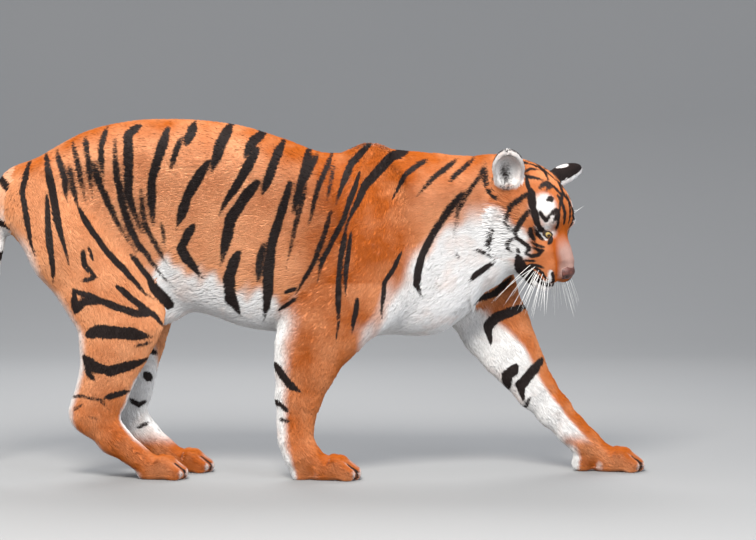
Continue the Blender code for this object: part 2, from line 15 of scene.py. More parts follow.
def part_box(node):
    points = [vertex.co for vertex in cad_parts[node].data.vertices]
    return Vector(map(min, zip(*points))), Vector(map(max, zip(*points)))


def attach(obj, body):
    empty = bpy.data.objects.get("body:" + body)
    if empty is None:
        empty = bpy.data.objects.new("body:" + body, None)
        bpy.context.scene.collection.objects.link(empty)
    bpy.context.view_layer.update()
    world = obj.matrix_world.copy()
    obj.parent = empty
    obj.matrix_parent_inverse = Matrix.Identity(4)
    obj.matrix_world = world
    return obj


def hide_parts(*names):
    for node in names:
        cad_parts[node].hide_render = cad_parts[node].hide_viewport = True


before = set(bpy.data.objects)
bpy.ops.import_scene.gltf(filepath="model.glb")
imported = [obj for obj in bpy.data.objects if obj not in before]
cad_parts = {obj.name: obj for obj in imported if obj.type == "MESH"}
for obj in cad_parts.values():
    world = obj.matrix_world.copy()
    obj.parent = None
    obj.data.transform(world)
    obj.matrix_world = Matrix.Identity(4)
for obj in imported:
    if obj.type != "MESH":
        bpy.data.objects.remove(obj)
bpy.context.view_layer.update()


# -----------------------------------------------------------------------------------------------------------
# The forms of the body. Bars stand for bones with their muscles, balls for the rounder masses, and they
# melt into one smooth surface. Each form also says how the hair grows on it: the way it lies, how deep the
# coat stands and how long its locks are.
# -----------------------------------------------------------------------------------------------------------
class Hair:
    """The way hair lies on a form, the depth of the coat there and the length of its locks."""

    def __init__(self, lie, depth, length):
        self.lie = np.array(Vector(lie).normalized())
        self.depth, self.length = depth, length


class Bar:
    """A tapered bar with round ends and an oval section: deep across its run, wide along side."""

    def __init__(self, a, b, size_a, size_b, hair, side=(0, 1, 0), melt=0.03):
        self.a, self.b = np.array(a, float), np.array(b, float)
        self.size_a, self.size_b = size_a, size_b
        self.side = np.array(side, float)
        self.hair, self.melt = hair, melt
        self.reach = max(*size_a, *size_b)

    def distance(self, p):
        run = self.b - self.a
        t = np.clip((p - self.a) @ run / (run @ run), 0, 1)
        deep = self.size_a[0] + t * (self.size_b[0] - self.size_a[0])
        wide = self.size_a[1] + t * (self.size_b[1] - self.size_a[1])
        out = p - self.a - t[:, None] * run
        aside = out @ self.side
        along = np.sqrt(np.maximum((out**2).sum(1) - aside**2, 0))
        oval = np.sqrt((along / deep) ** 2 + (aside / wide) ** 2) + 1e-9
        radial = np.sqrt(along**2 + aside**2)
        return np.where(radial > 1e-6, radial * (1 - 1 / oval), -np.minimum(deep, wide))

    def box(self):
        return np.minimum(self.a, self.b) - self.reach, np.maximum(self.a, self.b) + self.reach


class Ball:
    """An ellipsoid with its three half sizes along the columns of turn."""

    def __init__(self, centre, radii, hair, turn=None, melt=0.03):
        self.centre, self.radii = np.array(centre, float), np.array(radii, float)
        self.turn = np.eye(3) if turn is None else np.array(turn, float)
        self.hair, self.melt = hair, melt

    def distance(self, p):
        q = (p - self.centre) @ self.turn
        near = np.sqrt(((q / self.radii) ** 2).sum(1)) + 1e-9
        steep = np.sqrt(((q / self.radii**2) ** 2).sum(1)) + 1e-9
        return near * (near - 1) / steep

    def box(self):
        return self.centre - self.radii.max(), self.centre + self.radii.max()


def smooth_between(at, values, x):
    """A smooth curve through (at, values), read at x: Hermite pieces with the neighbours' slopes."""
    slope = np.gradient(values, at)
    i = np.clip(np.searchsorted(at, x) - 1, 0, len(at) - 2)
    step = at[i + 1] - at[i]
    t = (x - at[i]) / step
    return (
        values[i] * (1 + 2 * t) * (1 - t) ** 2
        + slope[i] * step * t * (1 - t) ** 2
        + values[i + 1] * t**2 * (3 - 2 * t)
        - slope[i + 1] * step * t**2 * (1 - t)
    )


class Barrel:
    """The trunk: oval sections along x, given by stations of (x, top, bottom, half width)."""

    SQUARE = 2.25  # 2 is an ellipse, more is boxier
    NARROW_ABOVE = 0.12

    def __init__(self, stations, hair, melt=0.03):
        self.x, self.top, self.bottom, self.wide = np.array(stations, float).T
        self.hair, self.melt = hair, melt

    def distance(self, p):
        x = np.clip(p[:, 0], self.x[0], self.x[-1])
        top, bottom, wide = (smooth_between(self.x, v, x) for v in (self.top, self.bottom, self.wide))
        half = (top - bottom) / 2
        up = p[:, 2] - (top + bottom) / 2
        wide = wide * (1 - self.NARROW_ABOVE * np.clip(up / half, -1, 1))
        power = self.SQUARE
        oval = (np.abs(p[:, 1] / wide) ** power + np.abs(up / half) ** power) ** (1 / power)
        radial = np.hypot(p[:, 1], up)
        skin = np.where(oval > 0.05, radial * (1 - 1 / np.maximum(oval, 0.05)), -np.minimum(wide, half))
        return np.where(x == p[:, 0], skin, np.hypot(p[:, 0] - x, np.maximum(skin, 0)))

    def box(self):
        return (
            np.array([self.x[0], -self.wide.max(), self.bottom.min()]),
            np.array([self.x[-1], self.wide.max(), self.top.max()]),
        )


def melted(a, b, width):
    """The nearer of two forms, rounded over where they meet."""
    h = np.maximum(width - np.abs(a - b), 0) / width
    return np.minimum(a, b) - h * h * width / 4


class Part:
    """Forms that melt into each other first, and then into the body."""

    def __init__(self, name, melt):
        self.name, self.melt, self.forms, self.hollows = name, melt, [], []

    def add(self, *forms):
        self.forms += forms

    def hollow(self, *forms):
        self.hollows += forms

    def chain(self, joints, depth, length, towards=1, melt=0.02):
        """Bars from joint to joint, each (x, y, z, half depth, half width), with hair along the run."""
        for a, b in zip(joints, joints[1:]):
            run = towards * (np.array(b[:3]) - np.array(a[:3]))
            self.add(Bar(a[:3], b[:3], a[3:], b[3:], Hair(run, depth, length), melt=melt))

    def distance(self, p):
        found = np.full(len(p), 1.0)
        for form in self.forms:
            found = melted(found, form.distance(p), form.melt)
        for form in self.hollows:
            found = -melted(-found, form.distance(p), form.melt)
        return found

    def box(self):
        boxes = [form.box() for form in self.forms]
        return np.min([b[0] for b in boxes], 0), np.max([b[1] for b in boxes], 0)


# -----------------------------------------------------------------------------------------------------------
# Trunk, neck and tail. The coat is short and lies backwards, a little longer under the belly and on the
# neck.
# -----------------------------------------------------------------------------------------------------------
FLANK_HAIR = Hair((-1, 0, -0.25), 0.009, 0.026)
BELLY_HAIR = Hair((-1, 0, -0.10), 0.014, 0.034)
THROAT_HAIR = Hair((-0.8, 0, -0.6), 0.015, 0.036)

trunk = Part("trunk", 0.03)
trunk.add(
    Barrel(
        [  # x, top, bottom, half width: rump, croup, loin, belly, ribs, withers, brisket
            (-0.768, 0.722, 0.655, 0.036),
            (-0.725, 0.776, 0.610, 0.077),
            (-0.650, 0.822, 0.540, 0.109),
            (-0.550, 0.876, 0.455, 0.126),
            (-0.430, 0.905, 0.440, 0.130),
            (-0.320, 0.910, 0.432, 0.135),
            (-0.230, 0.905, 0.410, 0.144),
            (-0.140, 0.891, 0.380, 0.151),
            (-0.040, 0.860, 0.366, 0.153),
            (0.060, 0.826, 0.358, 0.148),
            (0.160, 0.828, 0.352, 0.141),
            (0.260, 0.825, 0.370, 0.131),
            (0.360, 0.805, 0.388, 0.113),
            (0.440, 0.770, 0.430, 0.086),
        ],
        FLANK_HAIR,
    ),
    Ball((-0.410, 0, 0.425), (0.110, 0.070, 0.050), BELLY_HAIR, melt=0.06),
)

neck = Part("neck", 0.05)
neck.chain(
    [
        (0.250, 0.000, 0.640, 0.172, 0.125),
        (0.350, 0.000, 0.648, 0.152, 0.120),
        (0.430, 0.000, 0.667, 0.140, 0.104),
        (0.505, 0.004, 0.700, 0.118, 0.086),
    ],
    depth=0.012,
    length=0.030,
    towards=-1,
    melt=0.04,
)
neck.add(
    Bar((0.33, 0, 0.50), (0.47, -0.02, 0.57), (0.105, 0.105), (0.085, 0.085), THROAT_HAIR, melt=0.06),
    Ball((0.300, 0.000, 0.465), (0.110, 0.095, 0.095), THROAT_HAIR, melt=0.05),
)

TAIL_KNOTS = [  # x, z, radius: it hangs close behind the thighs, and its end sweeps back and up
    (-0.712, 0.735, 0.052),
    (-0.770, 0.672, 0.045),
    (-0.797, 0.580, 0.039),
    (-0.812, 0.465, 0.035),
    (-0.848, 0.350, 0.032),
    (-0.910, 0.250, 0.031),
    (-0.990, 0.195, 0.030),
    (-1.075, 0.200, 0.029),
    (-1.130, 0.255, 0.025),
]
tail = Part("tail", 0.035)
knots = np.arange(len(TAIL_KNOTS), dtype=float)
fine_knots = np.linspace(0, knots[-1], 3 * len(TAIL_KNOTS))
tail_x, tail_z, tail_radius = (smooth_between(knots, v, fine_knots) for v in np.array(TAIL_KNOTS).T)
tail.chain([(x, 0.0, z, r, r) for x, z, r in zip(tail_x, tail_z, tail_radius)], 0.007, 0.026, melt=0.01)


# -----------------------------------------------------------------------------------------------------------
# Legs and paws. The hair runs down the leg and then forward over the toes, shorter and shorter. Each paw
# has four toes with a claw drawn in between them, and leather pads under it.
# -----------------------------------------------------------------------------------------------------------
TOE_SPREAD = (-1.0, -0.34, 0.34, 1.0)  # the toes' places across the paw, as shares of its half width
PAW_HAIR = Hair((1, 0, -0.35), 0.004, 0.011)
toe_tips = []


def add_paw(part, ball, half_width, length, height):
    """Four toes and the pads, from the ball of the foot at ball = (x, y) on the floor, pointing to +X."""
    x, y = ball
    for spread in TOE_SPREAD:
        reach = length * (1 - 0.22 * spread**2)
        knuckle = (x + reach - 0.048, y + 0.82 * spread * half_width, height * 0.60)
        tip = (x + reach - 0.017, y + spread * half_width, height * 0.26)
        sizes = (height * 0.40, 0.020), (height * 0.34, 0.0185)
        part.add(Bar(knuckle, tip, *sizes, PAW_HAIR, melt=0.008))
        toe_tips.append(tip)
    part.add(
        Ball((x - 0.004, y, 0.017), (0.044, half_width, 0.024), PAW_HAIR, melt=0.02),
        Ball((x + 0.004, y, height * 0.54), (0.040, half_width * 0.98, height * 0.40), PAW_HAIR, melt=0.02),
    )


def leg(name, joints, melt, ball, paw, heel=None):
    """A leg: bars from joint to joint, a paw from its ball, and on a foreleg the heel behind the wrist."""
    part = Part(name, melt)
    part.chain(joints, LEG_COAT, LEG_HAIR)
    if heel:
        part.add(Ball(*heel, PAW_HAIR, melt=0.02))
    add_paw(part, ball, *paw)
    return part


LEG_COAT, LEG_HAIR = 0.006, 0.020  # depth of the coat and length of its locks
HIND_MELT, FORE_MELT = 0.040, 0.045
HIND_PAW = (0.036, 0.078, 0.058)   # half width, length and height
FORE_PAW = (0.043, 0.082, 0.060)

hindleg_right = leg(
    "hindleg_right",
    [
        (-0.640, -0.055, 0.690, 0.098, 0.068),
        (-0.568, -0.075, 0.600, 0.122, 0.072),
        (-0.482, -0.086, 0.490, 0.122, 0.067),
        (-0.454, -0.092, 0.402, 0.107, 0.058),
        (-0.467, -0.092, 0.335, 0.085, 0.048),
        (-0.484, -0.089, 0.268, 0.068, 0.041),
        (-0.501, -0.086, 0.215, 0.063, 0.037),
        (-0.521, -0.084, 0.170, 0.058, 0.034),
        (-0.474, -0.083, 0.105, 0.038, 0.033),
        (-0.388, -0.083, 0.038, 0.030, 0.039),
    ],
    HIND_MELT,
    (-0.362, -0.084),
    HIND_PAW,
)
hindleg_left = leg(
    "hindleg_left",
    [
        (-0.640, 0.055, 0.690, 0.098, 0.068),
        (-0.565, 0.075, 0.600, 0.122, 0.072),
        (-0.470, 0.086, 0.490, 0.122, 0.067),
        (-0.440, 0.092, 0.402, 0.105, 0.058),
        (-0.440, 0.092, 0.335, 0.085, 0.048),
        (-0.443, 0.089, 0.268, 0.068, 0.041),
        (-0.449, 0.086, 0.215, 0.063, 0.037),
        (-0.463, 0.084, 0.170, 0.058, 0.034),
        (-0.413, 0.083, 0.105, 0.038, 0.033),
        (-0.330, 0.083, 0.038, 0.030, 0.039),
    ],
    HIND_MELT,
    (-0.304, 0.084),
    HIND_PAW,
)
foreleg_right = leg(
    "foreleg_right",
    [
        (0.178, -0.046, 0.795, 0.054, 0.032),
        (0.195, -0.087, 0.690, 0.100, 0.048),
        (0.210, -0.109, 0.570, 0.118, 0.055),
        (0.135, -0.114, 0.470, 0.115, 0.058),
        (0.062, -0.112, 0.390, 0.104, 0.055),
        (0.030, -0.110, 0.335, 0.088, 0.049),
        (0.016, -0.108, 0.285, 0.075, 0.048),
        (-0.001, -0.103, 0.212, 0.057, 0.042),
        (-0.009, -0.099, 0.150, 0.045, 0.038),
        (-0.010, -0.098, 0.105, 0.041, 0.038),
        (0.004, -0.097, 0.066, 0.041, 0.043),
        (0.052, -0.097, 0.034, 0.030, 0.046),
    ],
    FORE_MELT,
    (0.072, -0.097),
    FORE_PAW,
    heel=((0.004, -0.097, 0.020), (0.026, 0.032, 0.030)),
)
foreleg_left = leg(
    "foreleg_left",
    [
        (0.172, 0.046, 0.791, 0.054, 0.032),
        (0.260, 0.087, 0.690, 0.100, 0.048),
        (0.375, 0.106, 0.580, 0.110, 0.055),
        (0.448, 0.114, 0.470, 0.104, 0.058),
        (0.502, 0.112, 0.372, 0.088, 0.052),
        (0.538, 0.110, 0.312, 0.074, 0.050),
        (0.568, 0.109, 0.268, 0.061, 0.046),
        (0.604, 0.108, 0.214, 0.051, 0.042),
        (0.652, 0.106, 0.158, 0.043, 0.039),
        (0.696, 0.104, 0.110, 0.037, 0.038),
        (0.730, 0.103, 0.076, 0.036, 0.042),
        (0.783, 0.103, 0.038, 0.031, 0.046),
    ],
    FORE_MELT,
    (0.803, 0.103),
    FORE_PAW,
    heel=((0.728, 0.103, 0.022), (0.028, 0.033, 0.026)),
)


# -----------------------------------------------------------------------------------------------------------
# Head and ears, in the head's own frame: x towards the nose, y to the animal's left, z towards the crown.
# The hair is shortest on the muzzle, sweeps back from the nose and stands out as a ruff behind the cheeks.
# -----------------------------------------------------------------------------------------------------------
HEAD_AT = Vector((0.592, -0.046, 0.663))
HEAD_TURN = Matrix.Rotation(math.radians(-38), 3, "Z") @ Matrix.Rotation(math.radians(42), 3, "Y")
EYE_PLACE = (0.071, 0.031, 0.018)


def on_head(point):
    """A place of the head's own frame, in the body's."""
    return HEAD_AT + HEAD_TURN @ Vector(point)


def head_hair(lie, depth, length):
    return Hair(HEAD_TURN @ Vector(lie), depth, length)


def head_ball(centre, radii, hair, melt=0.03):
    return Ball(on_head(centre), radii, hair, HEAD_TURN, melt)


def head_bar(a, b, size_a, size_b, hair, melt=0.03):
    return Bar(on_head(a), on_head(b), size_a, size_b, hair, HEAD_TURN @ Vector((0, 1, 0)), melt)


CROWN_HAIR = head_hair((-1, 0, 0.15), 0.006, 0.014)
BRIDGE_HAIR = head_hair((-1, 0, 0.1), 0.0015, 0.005)
MUZZLE_HAIR = head_hair((-1, 0, -0.3), 0.002, 0.006)
JAW_HAIR = head_hair((-1, 0, -0.4), 0.006, 0.014)
CHIN_HAIR = head_hair((-0.6, 0, -0.8), 0.005, 0.012)

head = Part("head", 0.030)
head.add(
    head_ball((-0.035, 0, 0.024), (0.110, 0.088, 0.088), CROWN_HAIR),
    head_ball((0.026, 0, 0.042), (0.062, 0.062, 0.056), CROWN_HAIR),
    head_bar((0.048, 0, 0.012), (0.146, 0, -0.020), (0.037, 0.041), (0.023, 0.027), BRIDGE_HAIR),
    head_ball((0.092, 0, -0.034), (0.064, 0.051, 0.044), MUZZLE_HAIR),
    head_bar((-0.010, 0, -0.098), (0.106, 0, -0.100), (0.053, 0.060), (0.031, 0.035), JAW_HAIR, melt=0.025),
    head_ball((0.132, 0, -0.096), (0.027, 0.029, 0.024), CHIN_HAIR, melt=0.015),
    head_ball((-0.070, 0, -0.058), (0.075, 0.080, 0.068), head_hair((-1, 0, -0.3), 0.012, 0.026), melt=0.04),
    head_ball((0.168, 0, -0.032), (0.016, 0.026, 0.019), head_hair((-1, 0, 0), 0.001, 0.003), melt=0.010),
)
for aside in (-1, 1):
    cheek_hair = head_hair((-0.8, aside * 0.3, -0.35), 0.006, 0.014)
    lip_hair = head_hair((-0.8, aside * 0.2, -0.6), 0.006, 0.015)
    ruff_hair = head_hair((-0.6, aside * 0.35, -0.8), 0.016, 0.034)
    pad_hair = head_hair((-0.9, aside * 0.3, -0.3), 0.0025, 0.007)
    brow_hair = head_hair((-0.8, aside * 0.3, 0.5), 0.005, 0.011)
    head.add(
        head_ball((0.000, aside * 0.056, -0.020), (0.086, 0.044, 0.066), cheek_hair),
        head_ball((0.053, aside * 0.046, -0.062), (0.062, 0.034, 0.054), lip_hair),
        head_ball((-0.022, aside * 0.080, -0.050), (0.058, 0.036, 0.084), ruff_hair, melt=0.018),
        head_ball((0.134, aside * 0.026, -0.053), (0.041, 0.031, 0.032), pad_hair, melt=0.014),
        head_ball((0.048, aside * 0.040, 0.048), (0.032, 0.022, 0.016), brow_hair, melt=0.02),
    )
    head.hollow(head_ball((0.101, aside * 0.058, 0.014), (0.026, 0.020, 0.017), brow_hair, melt=0.02))


class Ear(Part):
    """A round cup on the crown: up runs from base to tip, and opening is the way its hollow faces."""

    def __init__(self, name, base, up, opening):
        super().__init__(name, 0.018)
        up, opening = Vector(up).normalized(), Vector(opening)
        opening = (opening - opening.dot(up) * up).normalized()
        across = up.cross(opening)
        turn = HEAD_TURN @ Matrix((across, opening, up)).transposed()
        base = Vector(base)
        hair = Hair(turn.col[2], 0.003, 0.010)
        self.base, self.turn = on_head(base), turn
        self.add(
            Ball(on_head(base + up * 0.052), (0.041, 0.025, 0.064), hair, turn, melt=0.01),
            Ball(on_head(base + up * 0.006), (0.035, 0.029, 0.028), hair, turn, melt=0.02),
        )
        cup_at = on_head(base + up * 0.058 + opening * 0.021)
        self.hollow(Ball(cup_at, (0.032, 0.027, 0.051), hair, turn, melt=0.006))


ear_right = Ear("ear_right", (-0.070, -0.078, 0.050), (-0.22, -0.55, 0.78), (0.62, -0.75, 0.15))
ear_left = Ear("ear_left", (-0.060, 0.070, 0.052), (-0.06, 0.86, 0.46), (0.55, 0.25, -0.50))

LEGS = [hindleg_right, hindleg_left, foreleg_right, foreleg_left]
BODY = [trunk, neck, *LEGS, tail, head, ear_right, ear_left]
PART_NUMBER = {part.name: number for number, part in enumerate(BODY)}

# The forms stand about a point under the elbow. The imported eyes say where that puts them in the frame.
eye_middle = sum((corner for side in ("right", "left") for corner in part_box("eye_" + side)), Vector()) / 4
SHIFT = eye_middle - on_head((EYE_PLACE[0], 0, EYE_PLACE[2]))
SHIFT.z = 0


# -----------------------------------------------------------------------------------------------------------
# Skin: one closed surface from nose to tail. It is found as the net where the melted forms end, made finer
# on the head and paws, and then sunk by the depth of the coat, so that the tips of the hair reach the real
# outline.
# -----------------------------------------------------------------------------------------------------------
SKIN_GRID = 0.0096      # spacing of the net on the body, and on the ears below
EAR_GRID = 0.0045
WELD = 0.0008           # points of the net closer than this become one
SETTLING_STEPS = 3      # how often the points are moved onto the outline
FACE_CUTS = 2           # each cell of the net on the face is cut into three by three
PAW_CUTS = 1
SINK = 0.80             # how much of the coat's depth the skin lies under the outline
HAIR_REACH = 0.012      # how far a form's way of growing hair is felt beyond it
SOLE_HEIGHT = 0.012
SOLE_COAT = 0.0005      # depth of the coat on the soles
FLOOR_GAP = 0.0003
PAW_TOP = 0.075         # the net is made finer below this height, in front of the hocks
HOCK_AT = -0.5


def field(points):
    """The joined body at any points, each part read only round itself."""
    found = np.full(len(points), 1.0)
    for part in BODY:
        low, high = part.box()
        margin = part.melt + 0.02
        near = ((points > low - margin) & (points < high + margin)).all(1)
        if near.any():
            found[near] = melted(found[near], part.distance(points[near]), part.melt)
    return found


def slope_of(points, step=0.0008):
    """The field's outward slope, from four readings round each point."""
    corners = np.array([(1, -1, -1), (-1, -1, 1), (-1, 1, -1), (1, 1, 1)], float)
    return sum(corner * field(points + step * corner)[:, None] for corner in corners) / (4 * step)


def grid_lines(low, high, step, fine_step, fine_spans):
    """Sampling places along one axis, closer within the fine spans."""
    lines = [low]
    while lines[-1] < high:
        fine = any(a < lines[-1] < b for a, b in fine_spans)
        lines.append(lines[-1] + (fine_step if fine else step))
    return np.array(lines)


def sampled(lines):
    """The joined forms at every crossing of the grid lines."""
    values = np.full([len(line) for line in lines], 1.0)
    for part in BODY:
        low, high = part.box()
        margin = part.melt + 2 * SKIN_GRID
        reach = zip(low - margin, high + margin)
        spans = [slice(*np.searchsorted(line, ends)) for line, ends in zip(lines, reach)]
        near = [line[span] for line, span in zip(lines, spans)]
        points = np.stack(np.meshgrid(*near, indexing="ij"), -1).reshape(-1, 3)
        found = part.distance(points).reshape([len(n) for n in near])
        values[tuple(spans)] = melted(values[tuple(spans)], found, part.melt)
    return values


def net(values, lines):
    """Points and four-sided faces where the field crosses zero: one point in each cell that it passes."""
    inside = values < 0
    cells = np.array(values.shape) - 1
    sums, counts, faces = np.zeros((cells.prod(), 3)), np.zeros(cells.prod()), []
    for axis in range(3):
        u, v = (axis + 1) % 3, (axis + 2) % 3
        low = tuple(slice(0, -1) if k == axis else slice(1, -1) for k in range(3))
        high = tuple(slice(1, None) if k == axis else slice(1, -1) for k in range(3))
        at = np.argwhere(inside[low] != inside[high])
        at[:, [u, v]] += 1
        after = at.copy()
        after[:, axis] += 1
        first, second = values[tuple(at.T)], values[tuple(after.T)]
        place = np.stack([lines[k][at[:, k]] for k in range(3)], 1)
        share = first / (first - second)
        place[:, axis] += share * (lines[axis][after[:, axis]] - place[:, axis])
        ring = []
        for du, dv in ((-1, -1), (0, -1), (0, 0), (-1, 0)):
            cell = at.copy()
            cell[:, u] += du
            cell[:, v] += dv
            ring.append(np.ravel_multi_index(cell.T, cells))
            np.add.at(sums, ring[-1], place)
            np.add.at(counts, ring[-1], 1)
        ring = np.stack(ring, 1)
        faces.append(np.where((first < 0)[:, None], ring, ring[:, ::-1]))
    used = np.flatnonzero(counts)
    number = np.zeros(len(counts), int)
    number[used] = np.arange(len(used))
    return sums[used] / counts[used, None], number[np.concatenate(faces)]


def head_frame(points):
    """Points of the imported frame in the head's own frame."""
    return (points - np.array(HEAD_AT + SHIFT)) @ np.array(HEAD_TURN)


def cut_finer(form, wanted, cuts):
    """Each edge of the wanted faces is cut, and the cells between are filled with a grid."""
    edges = {edge for face in form.faces if wanted(face.calc_center_median()) for edge in face.edges}
    bmesh.ops.subdivide_edges(form, edges=list(edges), cuts=cuts, use_grid_fill=True)


def on_face_or_ears(centre):
    """Whether a place lies on the face, on the crown between the ears or on an ear."""
    x, y, z = HEAD_TURN.transposed() @ (centre - HEAD_AT)
    return x > -0.005 and z > -0.14 or z > 0.11 or (abs(y) > 0.092 and z > 0.03)


def points_of(mesh):
    """The mesh's points as rows of x, y, z."""
    points = np.empty(len(mesh.vertices) * 3)
    mesh.vertices.foreach_get("co", points)
    return points.reshape(-1, 3)


ears_low = np.minimum(ear_right.box()[0], ear_left.box()[0])
ears_high = np.maximum(ear_right.box()[1], ear_left.box()[1])
body_low = np.min([part.box()[0] for part in BODY], 0) - 0.03
body_high = np.max([part.box()[1] for part in BODY], 0) + 0.03
fine_spans = [[(ears_low[0] + 0.03, ears_high[0] - 0.02)], [], [(ears_low[2] + 0.03, ears_high[2] - 0.02)]]
skin_lines = [grid_lines(body_low[k], body_high[k], SKIN_GRID, EAR_GRID, fine_spans[k]) for k in range(3)]
net_points, net_faces = net(sampled(skin_lines), skin_lines)

skin_mesh = bpy.data.meshes.new("skin")
skin_mesh.from_pydata(net_points.tolist(), [], net_faces.tolist())
form = bmesh.new()
form.from_mesh(skin_mesh)
bmesh.ops.remove_doubles(form, verts=form.verts, dist=WELD)
cut_finer(form, on_face_or_ears, FACE_CUTS)
cut_finer(form, lambda centre: centre.z < PAW_TOP and centre.x > HOCK_AT, PAW_CUTS)
bmesh.ops.triangulate(form, faces=form.faces)
form.to_mesh(skin_mesh)
form.free()

outline = points_of(skin_mesh)
for _ in range(SETTLING_STEPS):
    slope = slope_of(outline)
    outline -= (field(outline) / np.maximum((slope**2).sum(1), 0.25))[:, None] * slope
slope = slope_of(outline)
outward = slope / np.linalg.norm(slope, axis=1)[:, None]


def hair_at(points):
    """The lie, depth and length of the hair at points of the outline, and their part's number."""
    lie, depth, length = np.zeros((len(points), 3)), np.zeros(len(points)), np.zeros(len(points))
    total, best, number = np.full(len(points), 1e-9), np.zeros(len(points)), np.zeros(len(points), int)
    for part_number, part in enumerate(BODY):
        low, high = part.box()
        near = np.flatnonzero(((points > low - 0.06) & (points < high + 0.06)).all(1))
        share = np.zeros(len(near))
        for form in part.forms:
            weight = np.exp(-np.maximum(form.distance(points[near]), -0.02) / HAIR_REACH)
            share += weight
            lie[near] += weight[:, None] * form.hair.lie
            depth[near] += weight * form.hair.depth
            length[near] += weight * form.hair.length
        total[near] += share
        better = near[share > best[near]]
        number[better] = part_number
        best[near] = np.maximum(best[near], share)
    return lie / total[:, None], depth / total, length / total, number


lie, depth, length, part_number = hair_at(outline)
sole = (outline[:, 2] < SOLE_HEIGHT) & (outward[:, 2] < -0.4)
depth[sole] = SOLE_COAT
outline += np.array(SHIFT)
skin_points = outline - outward * (SINK * depth)[:, None]
skin_points[:, 2] = np.maximum(skin_points[:, 2], FLOOR_GAP)
outline[:, 2] = np.maximum(outline[:, 2], FLOOR_GAP)


# -----------------------------------------------------------------------------------------------------------
# Markings: black stripes over orange, with white below and inside the legs. A stripe is a half width in
# millimetres and its path, as (x, z) seen from the side, or in the head's frame for the face. It tapers to
# its end.
# -----------------------------------------------------------------------------------------------------------
MARK_REACH = 0.03
TOE_CLEFT_SHADE = 0.0022      # half the width of the painted shade in the cleft between two toes
